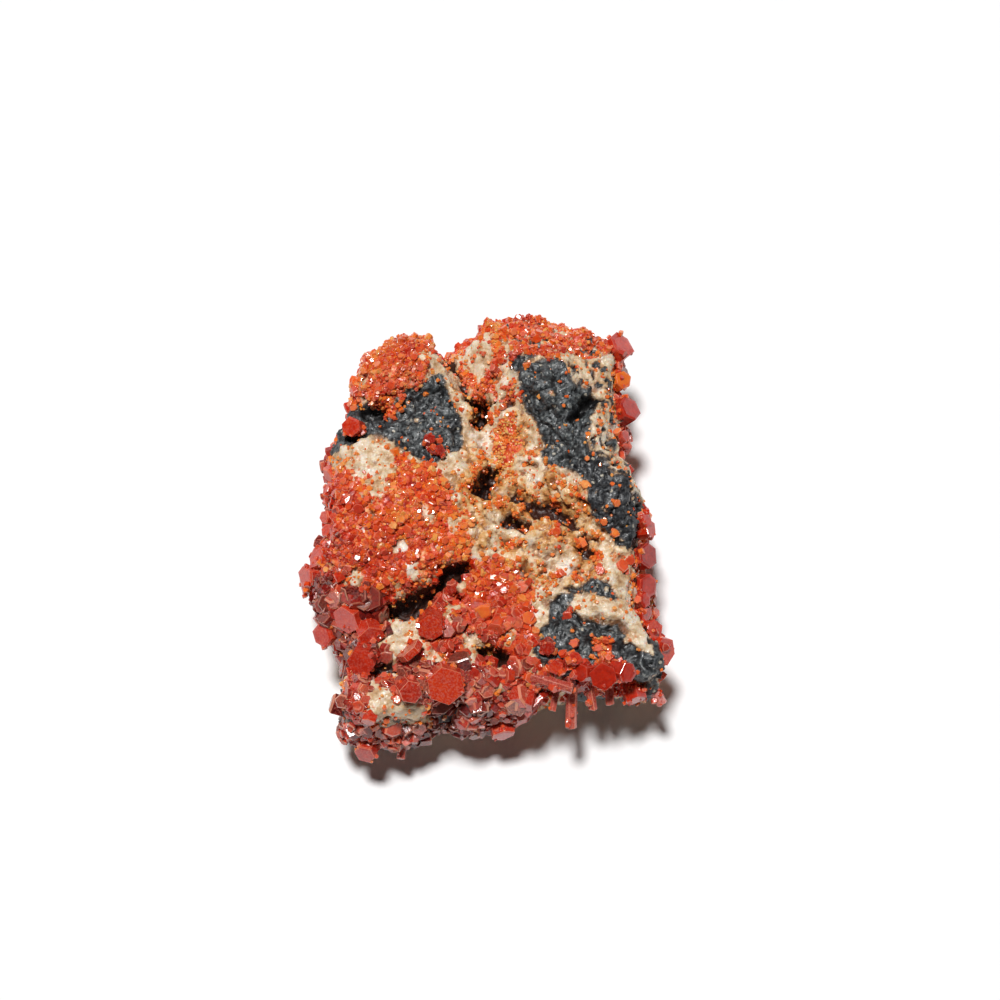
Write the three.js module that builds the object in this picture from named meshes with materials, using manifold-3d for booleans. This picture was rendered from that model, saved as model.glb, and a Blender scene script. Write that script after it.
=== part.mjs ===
// Vanadinite on matrix: a block of barite and dark rock, overgrown with red vanadinite crystals.
// Millimetres, +Z up. The block lies on its flat cut face. The origin is the middle of the
// specimen's box, on that face.
import * as THREE from "three";
import { ImprovedNoise } from "three/addons/math/ImprovedNoise.js";
import { mergeVertices } from "three/addons/utils/BufferGeometryUtils.js";
import Module from "manifold-3d";

// ---- Driving dimensions ---------------------------------------------------------------------

const MEAN_HEIGHT = 16.2; // resting face to the middle level of the top surface
const RIM_INSET = 1.4; // the top rim stands this far inside the widest outline
const RIM_DROP = 1.3; // the top surface rounds down by this much towards the rim
const RIM_START = 0.78; // share of the way out where that rounding starts
const FOOT_HEIGHT = 2.5; // the roughness fades out below this height, so that the base is flat
const CONTACT_GAP = 0.3; // clearance between touching pieces
const CRUST_HEIGHT = 1.35; // tips of a crust's small crystals above the rock
const CRUST_EDGE_HEIGHT = 0.5; // the same at the crust's thin border
const CRUST_MARGIN = 0.14; // share of a grid step that each crust stays inside its range

// The block's surface is a grid of columns round the vertical axis and rows that run from the
// middle of the top (row 0), over the rim, down the side, and to the middle of the base.
const COLUMNS = 72;
const TOP_ROWS = 10;
const SIDE_ROWS = 7;
const BASE_ROWS = 1;
const ROWS = TOP_ROWS + SIDE_ROWS + BASE_ROWS;
const COLUMN_DEGREES = 360 / COLUMNS;

// Widest outline of the bare rock in plan, anticlockwise from the right-hand side.
const OUTLINE = [
  [17.6, 2.7], [17.0, 4.6], [16.1, 6.4], [15.2, 8.2], [14.9, 10.4], [15.0, 14.2],
  [15.0, 17.5], [14.9, 20.8], [13.4, 23.3], [9.8, 24.9], [6.0, 25.0], [2.5, 25.3],
  [-0.9, 24.1], [-3.2, 22.4], [-4.6, 21.5], [-5.6, 20.5], [-6.8, 21.5], [-9.5, 22.6],
  [-12.8, 21.8], [-14.6, 20.0], [-15.0, 17.4], [-15.2, 15.0], [-16.6, 13.0],
  [-18.0, 10.4], [-17.8, 6.8], [-17.9, 3.6], [-18.1, 0.4], [-18.4, -3.0], [-19.6, -5.8],
  [-19.6, -9.2], [-18.0, -12.0], [-16.2, -14.6], [-15.5, -16.6], [-16.4, -19.0],
  [-17.0, -21.2], [-15.6, -23.0], [-12.4, -23.6], [-8.7, -22.6], [-5.0, -21.8],
  [-0.6, -21.2], [3.4, -20.6], [6.4, -19.2], [10.5, -18.6], [15.0, -18.5], [18.8, -18.4],
  [19.6, -16.6], [19.2, -14.4], [18.2, -12.4], [17.4, -10.6], [17.3, -6.5], [17.3, -3.0],
  [17.4, -0.2],
];

// How far the side stands inside the outline, against the share of the way down it.
const SIDE_PROFILE = [
  [0, RIM_INSET], [0.2, 0.35], [0.42, 0], [0.66, 0.6], [0.86, 2.0], [1, 3.6],
];

// Rises (+) and hollows (-) of the top surface: middle x and y, half-length, half-width,
// turn of the length from +X in degrees, and height.
const RELIEF = [
  { x: -10.1, y: -0.6, long: 8.5, wide: 7.5, turn: 0, rise: 2.6 }, // left mound
  { x: -11.0, y: 18.8, long: 5.2, wide: 4.0, turn: 15, rise: 1.9 }, // upper left cap
  { x: -10.0, y: 11.6, long: 6.0, wide: 2.8, turn: -8, rise: -1.2 }, // left dark terrace
  { x: -4.4, y: 17.0, long: 4.6, wide: 1.1, turn: -60, rise: 1.0 }, // lip beside the cleft
  { x: -2.6, y: 17.4, long: 5.2, wide: 1.1, turn: -62, rise: -3.0 }, // cleft from the notch
  { x: 0.0, y: 8.6, long: 5.5, wide: 1.9, turn: -82, rise: -1.8 }, // valley down the middle
  { x: 7.4, y: 16.6, long: 5.0, wide: 3.2, turn: -60, rise: 2.6 }, // dark ridge, far end
  { x: 10.2, y: 9.8, long: 5.2, wide: 3.2, turn: -70, rise: 2.3 }, // dark ridge, middle
  { x: 14.6, y: 2.6, long: 5.4, wide: 3.0, turn: -65, rise: 2.5 }, // dark ridge, near end
  { x: 11.2, y: 13.4, long: 2.6, wide: 0.9, turn: 25, rise: -1.6 }, // crack in the ridge
  { x: 7.6, y: 4.0, long: 5.2, wide: 1.2, turn: -24, rise: 1.3 }, // upper barite ledge
  { x: 7.2, y: 1.6, long: 5.6, wide: 0.9, turn: -26, rise: -1.5 }, // shadow line under it
  { x: 6.6, y: -2.6, long: 3.6, wide: 2.0, turn: -30, rise: 1.2 }, // pale boulders
  { x: 10.8, y: -3.5, long: 1.6, wide: 1.2, turn: 0, rise: -1.4 }, // pit beside them
  { x: 13.2, y: -10.4, long: 4.2, wide: 1.8, turn: -12, rise: 1.3 }, // cream bank
  { x: 12.6, y: -15.2, long: 5.6, wide: 2.6, turn: -8, rise: -1.0 }, // near dark hollow
  { x: -1.8, y: -13.2, long: 6.2, wide: 4.2, turn: -10, rise: -2.2 }, // red terrace
  { x: -7.2, y: -9.0, long: 5.6, wide: 1.5, turn: 24, rise: -3.4 }, // recess under the mound
  { x: -13.0, y: -18.2, long: 4.4, wide: 1.2, turn: 6, rise: -3.0 }, // gap behind the corner
  { x: -11.6, y: -22.0, long: 4.8, wide: 2.6, turn: 4, rise: 1.2 }, // near left corner
  { x: -4.6, y: -21.2, long: 2.4, wide: 1.6, turn: 0, rise: -2.6 }, // dark recess at the edge
  { x: -16.8, y: -12.0, long: 4.6, wide: 2.4, turn: 100, rise: -2.4 }, // left lower slope
];

// Open cavities in the barite: middle x and y, half-sizes along, across and down, and turn.
const CAVITIES = [
  { x: -0.9, y: 12.7, long: 1.9, wide: 1.3, deep: 2.6, turn: 70 },
  { x: 0.1, y: 4.4, long: 1.7, wide: 1.4, deep: 2.4, turn: 30 },
  { x: 4.6, y: 6.6, long: 1.7, wide: 0.7, deep: 1.4, turn: -10 },
  { x: 3.3, y: 0.3, long: 2.2, wide: 0.9, deep: 2.0, turn: -35 },
  { x: -3.6, y: -8.9, long: 1.2, wide: 0.9, deep: 1.8, turn: 20 },
  { x: 0.4, y: -15.6, long: 1.5, wide: 1.0, deep: 2.0, turn: -15 },
  { x: -14.2, y: 12.9, long: 1.5, wide: 0.9, deep: 1.5, turn: -20 },
];

// Roughness of the rock: spacing of the lumps and their height.
const ROCK_LUMPS = [
  { spacing: 6.5, height: 1.1 },
  { spacing: 2.9, height: 0.75 },
];

// Crusts of small crystals grown together: grid columns and rows that each one covers.
const CRUSTS = [
  { name: "crust_upper_left_cap", columns: [21, 28], rows: [7, 12], tint: "orange" },
  { name: "crust_back_edge", columns: [14, 19], rows: [6, 12], tint: "orange" },
  { name: "crust_back_right_edge", columns: [9, 14], rows: [9, 12], tint: "orange" },
  { name: "crust_left_mound", columns: [33, 41], rows: [3, 11], tint: "orange" },
  { name: "crust_left_lower_flank", columns: [41, 45], rows: [7, 12], tint: "red" },
  { name: "crust_terrace", columns: [48, 57], rows: [5, 8], tint: "red" },
  { name: "crust_near_left_corner", columns: [46, 51], rows: [12, 15], tint: "red" },
  { name: "crust_front_edge", columns: [51, 57], rows: [10, 15], tint: "red" },
  { name: "crust_front_right_rim", columns: [58, 62], rows: [10, 12], tint: "red" },
  { name: "crust_right_lower_flank", columns: [64, 69], rows: [12, 15], tint: "red" },
  { name: "crust_right_middle_flank", columns: [69, 74], rows: [12, 15], tint: "red" },
  { name: "crust_right_upper_flank", columns: [77, 82], rows: [12, 15], tint: "red" },
  { name: "crust_left_flank", columns: [29, 40], rows: [12, 15], tint: "red" },
  { name: "crust_back_flank", columns: [14, 26], rows: [12, 15], tint: "red" },
];

// Larger crystals. A seat on the top is given by x and y, one on the side by its column and row.
// lean is the tilt of the crystal's axis from +Z, toward its compass direction from +X, and spin
// its turn about its own axis, all in degrees. A piece with several stems is one grown cluster.
const CRYSTALS = [
  { name: "tablet_terrace_large", stems: [
    { x: -4.8, y: -18.4, lean: 30, toward: -80, spin: 12, radius: 2.2, length: 2.3 }] },
  { name: "plate_terrace_leaning", stems: [
    { x: -7.7, y: -16.3, lean: 60, toward: 135, spin: 0, radius: 1.6, length: 1.9, thin: 0.8 }] },
  { name: "plate_terrace_low", stems: [
    { x: -8.9, y: -19.6, lean: 36, toward: -60, spin: 20, radius: 1.35, length: 1.8 }] },
  { name: "tablet_terrace_upper", stems: [
    { x: -6.3, y: -11.6, lean: 38, toward: -95, spin: 5, radius: 1.5, length: 2.3 }] },
  { name: "tablet_flank_hexagon", stems: [
    { x: -13.7, y: -15.7, lean: 35, toward: -100, spin: 25, radius: 1.6, length: 2.1 }] },
  { name: "plates_flank_upper", stems: [
    { x: -15.0, y: -10.6, lean: 55, toward: -130, spin: 0, radius: 1.7, length: 2.0 },
    { x: -13.4, y: -12.4, lean: 50, toward: -70, spin: 18, radius: 1.6, length: 2.1 }] },
  { name: "plate_flank_edge", stems: [
    { column: 42.7, row: 11, lean: 48, toward: 215, spin: 10, radius: 1.4, length: 1.7 }] },
  { name: "rosette_left", stems: [
    { column: 39.1, row: 11.6, lean: 62, toward: 200, spin: 0, radius: 1.45, length: 2.1 },
    { column: 38.4, row: 11.2, lean: 48, toward: 175, spin: 22, radius: 1.3, length: 2.1 },
    { column: 39.2, row: 12.4, lean: 86, toward: 195, spin: 40, radius: 1.2, length: 2.3 }] },
  { name: "crystal_left_upper", stems: [
    { column: 33.4, row: 11.2, lean: 42, toward: 160, spin: 8, radius: 0.8, length: 1.4 }] },
  { name: "crystal_left_middle", stems: [
    { column: 35.2, row: 11.5, lean: 44, toward: 195, spin: 30, radius: 0.85, length: 1.5 }] },
  { name: "crystal_left_lower", stems: [
    { column: 36.6, row: 11.2, lean: 40, toward: 165, spin: 14, radius: 0.8, length: 1.3 }] },
  { name: "tablet_left_hollow", stems: [
    { x: -15.0, y: 11.0, lean: 24, toward: 200, spin: 5, radius: 1.2, length: 1.6 }] },
  { name: "crystals_left_dark", stems: [
    { x: -6.8, y: 8.6, lean: 20, toward: 60, spin: 0, radius: 0.7, length: 1.5 },
    { x: -6.2, y: 7.9, lean: 42, toward: -20, spin: 15, radius: 0.6, length: 1.4 }] },
  { name: "prism_front_level", stems: [
    { x: 5.0, y: -17.9, lean: 84, toward: -18, spin: 12, radius: 0.6, length: 4.6 }] },
  { name: "prism_front_short", stems: [
    { column: 58.5, row: 11.2, lean: 104, toward: -100, spin: 0, radius: 0.4, length: 2.4 }] },
  { name: "prism_front_long", stems: [
    { column: 59.5, row: 11.0, lean: 116, toward: -92, spin: 15, radius: 0.62, length: 5.0 }] },
  { name: "prism_front_second", stems: [
    { column: 60.4, row: 11.2, lean: 112, toward: -80, spin: 0, radius: 0.5, length: 3.2 }] },
  { name: "prism_front_third", stems: [
    { column: 61.4, row: 11.0, lean: 106, toward: -88, spin: 20, radius: 0.5, length: 2.6 }] },
  { name: "hexagon_front_right", stems: [
    { column: 62.2, row: 11.8, lean: 84, toward: -74, spin: 8, radius: 1.35, length: 2.4 }] },
  { name: "prism_corner", stems: [
    { column: 63.2, row: 12.4, lean: 100, toward: -58, spin: 0, radius: 0.6, length: 2.0 }] },
  { name: "cluster_front_right", stems: [
    { x: 12.9, y: -17.2, lean: 26, toward: -100, spin: 10, radius: 1.5, length: 2.2 },
    { x: 14.3, y: -17.0, lean: 44, toward: -30, spin: 30, radius: 1.2, length: 2.1 },
    { x: 11.7, y: -17.2, lean: 50, toward: -160, spin: 0, radius: 1.0, length: 2.0 }] },
  { name: "crystals_rim_near", stems: [
    { x: 8.0, y: -16.5, lean: 30, toward: -120, spin: 0, radius: 0.8, length: 1.9 },
    { x: 9.0, y: -16.3, lean: 26, toward: 10, spin: 25, radius: 0.8, length: 1.8 }] },
  { name: "tablet_right_top", stems: [
    { column: 83.3, row: 11.2, lean: 44, toward: 28, spin: 18, radius: 1.75, length: 2.0 }] },
  { name: "tablet_right_shaded", stems: [
    { column: 82.6, row: 12.8, lean: 60, toward: 10, spin: 18, radius: 1.2, length: 1.8 }] },
  { name: "tablet_right_orange", stems: [
    { column: 82.1, row: 11.3, lean: 36, toward: -10, spin: 0, radius: 1.15, length: 1.8 }] },
  { name: "tablet_right_lower", stems: [
    { column: 80.7, row: 11.4, lean: 40, toward: 8, spin: 25, radius: 1.6, length: 1.9 }] },
  { name: "crystal_right_small", stems: [
    { column: 79.2, row: 11.2, lean: 44, toward: 5, spin: 0, radius: 0.8, length: 1.4 }] },
  { name: "crystals_right_middle", stems: [
    { column: 72.1, row: 11.3, lean: 42, toward: 8, spin: 0, radius: 0.9, length: 1.7 },
    { column: 71.7, row: 11.5, lean: 54, toward: -4, spin: 20, radius: 1.0, length: 2.0 }] },
  { name: "tablet_right_dark", stems: [
    { column: 69.8, row: 11.6, lean: 44, toward: -5, spin: 10, radius: 1.5, length: 1.8 }] },
  { name: "tablet_right_low", stems: [
    { column: 67.9, row: 11.8, lean: 46, toward: -18, spin: 0, radius: 1.45, length: 1.9 }] },
  { name: "crystals_right_low", stems: [
    { column: 66.7, row: 11.2, lean: 44, toward: -15, spin: 0, radius: 0.85, length: 1.7 },
    { column: 66.3, row: 11.8, lean: 58, toward: -30, spin: 25, radius: 0.95, length: 1.8 }] },
  { name: "cluster_right_corner", stems: [
    { column: 65.2, row: 11.3, lean: 42, toward: -14, spin: 0, radius: 1.3, length: 1.9 },
    { column: 64.8, row: 11.7, lean: 50, toward: -30, spin: 24, radius: 1.7, length: 2.1 }] },
  { name: "blades_front", stems: [
    { column: 56.2, row: 10.6, lean: 84, toward: -20, spin: 0, radius: 1.8, length: 1.8, thin: 0.7 },
    { column: 56.6, row: 11.2, lean: 92, toward: -42, spin: 20, radius: 1.8, length: 1.7, thin: 0.7 }] },
  { name: "tablet_front_tip", stems: [
    { column: 54.7, row: 13.3, lean: 82, toward: -76, spin: 10, radius: 1.4, length: 2.2 }] },
  { name: "spike_front_left", stems: [
    { column: 49.3, row: 14.2, lean: 100, toward: -94, spin: 0, radius: 0.5, length: 2.4 }] },
  { name: "plate_base_left", stems: [
    { column: 48.1, row: 14.0, lean: 60, toward: -112, spin: 15, radius: 1.3, length: 2.2 }] },
  { name: "crystal_dark_hollow", stems: [
    { x: 6.6, y: -14.4, lean: 30, toward: -80, spin: 0, radius: 0.8, length: 1.6 }] },
  { name: "crystal_back_left", stems: [
    { column: 24, row: 13.6, lean: 84, toward: 122, spin: 0, radius: 1.2, length: 2.0 }] },
  { name: "crystal_back_middle", stems: [
    { column: 18, row: 13.8, lean: 86, toward: 92, spin: 16, radius: 1.4, length: 2.0 }] },
];

const ROOT_DEPTH = 0.3; // how far a crystal would reach below its seat if the rock were not there
const FACE_COUNT = 6; // vanadinite is hexagonal

const COLOURS = {
  rock: { color: 0xcdb08a, roughness: 0.9, metalness: 0 },
  orange: { color: 0xd9622b, roughness: 0.35, metalness: 0 },
  red: { color: 0xb5402c, roughness: 0.3, metalness: 0 },
  crystal: { color: 0xa52a1c, roughness: 0.2, metalness: 0 },
};

// ---- Shape of the block ---------------------------------------------------------------------

const noise = new ImprovedNoise();
const outlineCurve = new THREE.CatmullRomCurve3(
  OUTLINE.map(([x, y]) => new THREE.Vector3(x, y, 0)), true, "centripetal");
const OUTLINE_SAMPLES = 720;
const outlineSamples = outlineCurve.getSpacedPoints(OUTLINE_SAMPLES).slice(0, -1).map((p) => ({
  azimuth: THREE.MathUtils.euclideanModulo(Math.atan2(p.y, p.x), 2 * Math.PI),
  radius: Math.hypot(p.x, p.y),
})).sort((a, b) => a.azimuth - b.azimuth);

// Value at a place on a rising list of [place, value] pairs, on straight lines between them.
function interpolate(pairs, place) {
  const next = pairs.findIndex(([at]) => at >= place);
  if (next === 0) return pairs[0][1];
  if (next < 0) return pairs[pairs.length - 1][1];
  const [fromPlace, fromValue] = pairs[next - 1];
  const [toPlace, toValue] = pairs[next];
  const share = (place - fromPlace) / (toPlace - fromPlace);
  return fromValue + share * (toValue - fromValue);
}

function outlineRadius(azimuth) {
  const turned = THREE.MathUtils.euclideanModulo(azimuth, 2 * Math.PI);
  const step = 2 * Math.PI / OUTLINE_SAMPLES;
  const near = outlineSamples.filter((s) => {
    const apart = Math.abs(s.azimuth - turned);
    return Math.min(apart, 2 * Math.PI - apart) < 2 * step;
  });
  return near.reduce((sum, s) => sum + s.radius, 0) / near.length;
}

function topHeight(x, y) {
  let height = MEAN_HEIGHT;
  for (const { x: middleX, y: middleY, long, wide, turn, rise } of RELIEF) {
    const angle = THREE.MathUtils.degToRad(turn);
    const along = (x - middleX) * Math.cos(angle) + (y - middleY) * Math.sin(angle);
    const across = (y - middleY) * Math.cos(angle) - (x - middleX) * Math.sin(angle);
    height += rise * Math.exp(-((along / long) ** 2) - (across / wide) ** 2);
  }
  return height;
}

function lumps(point) {
  let height = 0;
  for (const { spacing, height: lump } of ROCK_LUMPS) {
    height += lump * noise.noise(point.x / spacing, point.y / spacing, point.z / spacing);
  }
  return height;
}

// Place on the smooth block for a column and a row of the grid, either of which may be a fraction.
function blockPoint(column, row) {
  const azimuth = THREE.MathUtils.degToRad(column * COLUMN_DEGREES);
  const outer = outlineRadius(azimuth);
  const rimRadius = outer - RIM_INSET;
  const topShare = Math.min(row / TOP_ROWS, 1);
  const sideShare = THREE.MathUtils.clamp((row - TOP_ROWS) / SIDE_ROWS, 0, 1);
  const baseShare = THREE.MathUtils.clamp((row - TOP_ROWS - SIDE_ROWS) / BASE_ROWS, 0, 1);
  const rounding = Math.max(0, (topShare - RIM_START) / (1 - RIM_START)) ** 2;
  const topX = Math.cos(azimuth) * rimRadius * topShare;
  const topY = Math.sin(azimuth) * rimRadius * topShare;
  const topZ = topHeight(topX, topY) - RIM_DROP * rounding;
  if (row <= TOP_ROWS) return new THREE.Vector3(topX, topY, topZ);
  const radius = (outer - interpolate(SIDE_PROFILE, sideShare)) * (1 - baseShare);
  return new THREE.Vector3(
    Math.cos(azimuth) * radius, Math.sin(azimuth) * radius, topZ * (1 - sideShare));
}

function blockNormal(column, row) {
  const step = 0.5;
  const seat = Math.max(row, step);
  const acrossColumns = blockPoint(column + step, seat).sub(blockPoint(column - step, seat));
  const acrossRows = blockPoint(column, seat + step).sub(blockPoint(column, seat - step));
  return acrossRows.cross(acrossColumns).normalize();
}

// Place on the rough rock, or a given height above it.
function rockPoint(column, row, offset = 0) {
  const point = blockPoint(column, row);
  const rough = lumps(point) * THREE.MathUtils.smoothstep(point.z, 0, FOOT_HEIGHT);
  const onBase = row > TOP_ROWS + SIDE_ROWS - 0.5;
  const normal = onBase ? new THREE.Vector3(0, 0, -1) : blockNormal(column, row);
  return point.addScaledVector(normal, rough + offset);
}

// ---- Solids ---------------------------------------------------------------------------------

const wasm = await Module();
wasm.setup();

// A geometry with one vertex for each corner and no triangle that has shrunk to a line.
function closed(geometry) {
  const bare = geometry.clone();
  bare.deleteAttribute("normal");
  bare.deleteAttribute("uv");
  const merged = mergeVertices(bare, 1e-4);
  const kept = [];
  const index = merged.index.array;
  for (let i = 0; i < index.length; i += 3) {
    const [a, b, c] = [index[i], index[i + 1], index[i + 2]];
    if (a !== b && b !== c && c !== a) kept.push(a, b, c);
  }
  return merged.setIndex(kept);
}

function solidOf(geometry) {
  const shape = closed(geometry);
  return new wasm.Manifold(new wasm.Mesh({
    numProp: 3,
    vertProperties: new Float32Array(shape.attributes.position.array),
    triVerts: new Uint32Array(shape.index.array),
  }));
}

function geometryOf(solid) {
  const mesh = solid.getMesh();
  const geometry = new THREE.BufferGeometry();
  geometry.setAttribute("position", new THREE.BufferAttribute(mesh.vertProperties, 3));
  geometry.setIndex(new THREE.BufferAttribute(mesh.triVerts, 1));
  geometry.computeVertexNormals();
  return geometry;
}

// The block's skin, a given height above the rock: a sphere's grid drawn over rows and columns.
function blockSolid(offset) {
  const geometry = new THREE.SphereGeometry(1, COLUMNS, ROWS);
  const { position, uv } = geometry.attributes;
  for (let i = 0; i < position.count; i++) {
    const column = Math.round(uv.getX(i) * COLUMNS - 1e-3) % COLUMNS;
    const row = Math.round((1 - uv.getY(i)) * ROWS);
    const atPole = row === 0 || row === ROWS;
    const point = rockPoint(atPole ? 0 : column, row, offset);
    position.setXYZ(i, point.x, point.y, point.z);
  }
  return solidOf(geometry);
}

function cavitySolid({ x, y, long, wide, deep, turn }) {
  const geometry = new THREE.IcosahedronGeometry(1, 0);
  geometry.scale(long, wide, deep);
  geometry.rotateZ(THREE.MathUtils.degToRad(turn));
  geometry.translate(x, y, topHeight(x, y));
  return solidOf(geometry);
}

// A crust is a thin box drawn over a range of the grid: its underside clears the rock, and its
// upper side reaches the tips of the crystals and thins towards the border.
function crustSolid({ columns, rows }) {
  const columnCount = columns[1] - columns[0];
  const rowCount = rows[1] - rows[0];
  const geometry = new THREE.BoxGeometry(1, 1, 1, columnCount, rowCount, 1);
  const { position } = geometry.attributes;
  for (let i = 0; i < position.count; i++) {
    const columnShare = 0.5 - position.getX(i);
    const rowShare = 0.5 + position.getY(i);
    const column = THREE.MathUtils.clamp(columns[0] + columnShare * columnCount,
      columns[0] + CRUST_MARGIN, columns[1] - CRUST_MARGIN);
    const row = THREE.MathUtils.clamp(rows[0] + rowShare * rowCount,
      rows[0] + CRUST_MARGIN, rows[1] - CRUST_MARGIN);
    const border = Math.min(columnShare, 1 - columnShare, rowShare, 1 - rowShare) < 1e-6;
    const tips = border ? CRUST_EDGE_HEIGHT : CRUST_HEIGHT;
    const point = rockPoint(column, row, position.getZ(i) > 0 ? tips : CONTACT_GAP);
    position.setXYZ(i, point.x, point.y, point.z);
  }
  return solidOf(geometry);
}

// ---- Crystals -------------------------------------------------------------------------------

function seatOf({ x, y, column, row }) {
  if (x === undefined) return rockPoint(column, row);
  const azimuth = Math.atan2(y, x);
  const share = Math.hypot(x, y) / (outlineRadius(azimuth) - RIM_INSET);
  return rockPoint(THREE.MathUtils.radToDeg(azimuth) / COLUMN_DEGREES, share * TOP_ROWS);
}

// A hexagonal prism along +Z, grown on all sides by a clearance. A thin one is a plate that
// doesn't reach down to its seat.
function stemGeometry({ radius, length, thin = length + ROOT_DEPTH }, clearance) {
  const top = length + clearance;
  const bottom = length - thin - clearance;
  const side = radius + clearance;
  const profile = [[0, bottom], [side, bottom], [side, top], [0, top]].map(
    ([across, along]) => new THREE.Vector2(across, along));
  return new THREE.LatheGeometry(profile, FACE_COUNT).rotateX(Math.PI / 2);
}

function stemPlacement(stem) {
  const lean = THREE.MathUtils.degToRad(stem.lean);
  const toward = THREE.MathUtils.degToRad(stem.toward);
  const axis = new THREE.Vector3(
    Math.sin(lean) * Math.cos(toward), Math.sin(lean) * Math.sin(toward), Math.cos(lean));
  const turn = new THREE.Quaternion().setFromUnitVectors(new THREE.Vector3(0, 0, 1), axis);
  const spin = new THREE.Quaternion().setFromAxisAngle(
    new THREE.Vector3(0, 0, 1), THREE.MathUtils.degToRad(stem.spin));
  return new THREE.Matrix4().compose(
    seatOf(stem), turn.multiply(spin), new THREE.Vector3(1, 1, 1));
}

function clusterSolid(stems, clearance) {
  return stems
    .map((stem) => solidOf(stemGeometry(stem, clearance).applyMatrix4(stemPlacement(stem))))
    .reduce((joined, solid) => joined.add(solid));
}

// ---- The specimen ---------------------------------------------------------------------------

const specimen = new THREE.Group();

function addMesh(name, solid, colour, placement = new THREE.Matrix4()) {
  const geometry = geometryOf(solid).applyMatrix4(placement.clone().invert());
  const mesh = new THREE.Mesh(geometry, new THREE.MeshStandardMaterial(COLOURS[colour]));
  mesh.name = name;
  mesh.applyMatrix4(placement);
  specimen.add(mesh);
}

const rockSkin = blockSolid(CONTACT_GAP / 2);
const clearOfRock = blockSolid(CONTACT_GAP);
const matrixSolid = CAVITIES.reduce(
  (block, cavity) => block.subtract(cavitySolid(cavity)), blockSolid(0));
addMesh("matrix", matrixSolid, "rock");

const sockets = CRYSTALS.map(({ stems }) => clusterSolid(stems, CONTACT_GAP));
for (const crust of CRUSTS) {
  const solid = sockets.reduce(
    (left, socket) => left.subtract(socket), crustSolid(crust).subtract(rockSkin));
  addMesh(crust.name, solid, crust.tint);
}

for (const { name, stems } of CRYSTALS) {
  const solid = clusterSolid(stems, 0).subtract(clearOfRock);
  addMesh(name, solid, "crystal", stemPlacement(stems[0]));
}

const box = new THREE.Box3().setFromObject(specimen, true);
const middle = box.getCenter(new THREE.Vector3());
specimen.position.set(-middle.x, -middle.y, -box.min.z);

export default specimen;
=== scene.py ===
# Vanadinite on matrix: the looks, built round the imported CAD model.
# Lengths inside this script are millimetres in the CAD frame, and meshes are written in metres.
import itertools
import math

import bmesh
import bpy
import numpy as np
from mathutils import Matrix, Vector
from mathutils.bvhtree import BVHTree


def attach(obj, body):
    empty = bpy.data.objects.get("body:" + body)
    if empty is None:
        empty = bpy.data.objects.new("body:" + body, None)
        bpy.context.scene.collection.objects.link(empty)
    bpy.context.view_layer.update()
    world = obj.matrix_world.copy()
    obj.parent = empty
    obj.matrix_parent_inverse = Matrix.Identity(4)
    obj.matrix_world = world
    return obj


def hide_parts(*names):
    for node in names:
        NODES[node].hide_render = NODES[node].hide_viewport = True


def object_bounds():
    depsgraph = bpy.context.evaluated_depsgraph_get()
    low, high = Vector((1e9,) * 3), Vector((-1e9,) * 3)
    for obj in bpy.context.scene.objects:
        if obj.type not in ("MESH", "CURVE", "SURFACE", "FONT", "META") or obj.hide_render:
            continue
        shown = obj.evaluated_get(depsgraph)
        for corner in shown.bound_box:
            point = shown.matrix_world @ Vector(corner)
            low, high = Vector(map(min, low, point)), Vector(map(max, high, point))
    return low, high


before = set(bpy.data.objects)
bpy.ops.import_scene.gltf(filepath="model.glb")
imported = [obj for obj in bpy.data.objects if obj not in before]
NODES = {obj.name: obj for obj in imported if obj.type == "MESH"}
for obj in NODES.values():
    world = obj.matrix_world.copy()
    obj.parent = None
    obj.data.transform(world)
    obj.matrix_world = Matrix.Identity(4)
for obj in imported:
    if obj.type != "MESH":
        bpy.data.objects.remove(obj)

MM = 0.001
cad_box = [np.array(corner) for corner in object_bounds()]
LOW, HIGH = (corner / MM for corner in cad_box)
CRUSTS = sorted(name for name in NODES if name.startswith("crust_"))
CRYSTALS = sorted(name for name in NODES if name != "matrix" and name not in CRUSTS)

# ---- Noise on arrays of points ------------------------------------------------------------------
# Each call gives the spacing of the lumps in millimetres, and a seed of its own.

GRADIENTS = np.random.default_rng(7).normal(size=(512, 3))
GRADIENTS /= np.linalg.norm(GRADIENTS, axis=1, keepdims=True)
CELL_VALUES = np.random.default_rng(8).random((4096, 4))
CORNERS = np.array(list(itertools.product((0, 1), repeat=3)))
NEIGHBOURS = np.array(list(itertools.product((-1, 0, 1), repeat=3)))


def hashed(cells, seed, size):
    """A repeatable index below size for each whole-number cell."""
    mixed = (cells[:, 0] * 73856093) ^ (cells[:, 1] * 19349663) ^ (cells[:, 2] * 83492791)
    mixed = (mixed + seed * 2654435761) & 0x7FFFFFFF
    mixed = (mixed ^ (mixed >> 13)) * 1274126177 & 0x7FFFFFFF
    return (mixed ^ (mixed >> 16)) % size


def smooth_noise(points, spacing, seed):
    """Gradient noise of about -1 to 1 at each point, with lumps about spacing apart."""
    scaled = points / spacing + 100.0
    cells = np.floor(scaled).astype(np.int64)
    part = scaled - cells
    fade = part**3 * (part * (part * 6 - 15) + 10)
    total = np.zeros(len(points))
    for corner in CORNERS:
        slopes = GRADIENTS[hashed(cells + corner, seed, len(GRADIENTS))]
        weight = np.prod(np.where(corner, fade, 1 - fade), axis=1)
        total += weight * np.einsum("ij,ij->i", slopes, part - corner)
    return total * 1.6


def fractal_noise(points, spacing, seed, octaves=3):
    """Smooth noise summed over octaves that halve in spacing and in height."""
    return sum(
        smooth_noise(points, spacing / 2**octave, seed + octave) / 2**octave
        for octave in range(octaves)
    )


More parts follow.
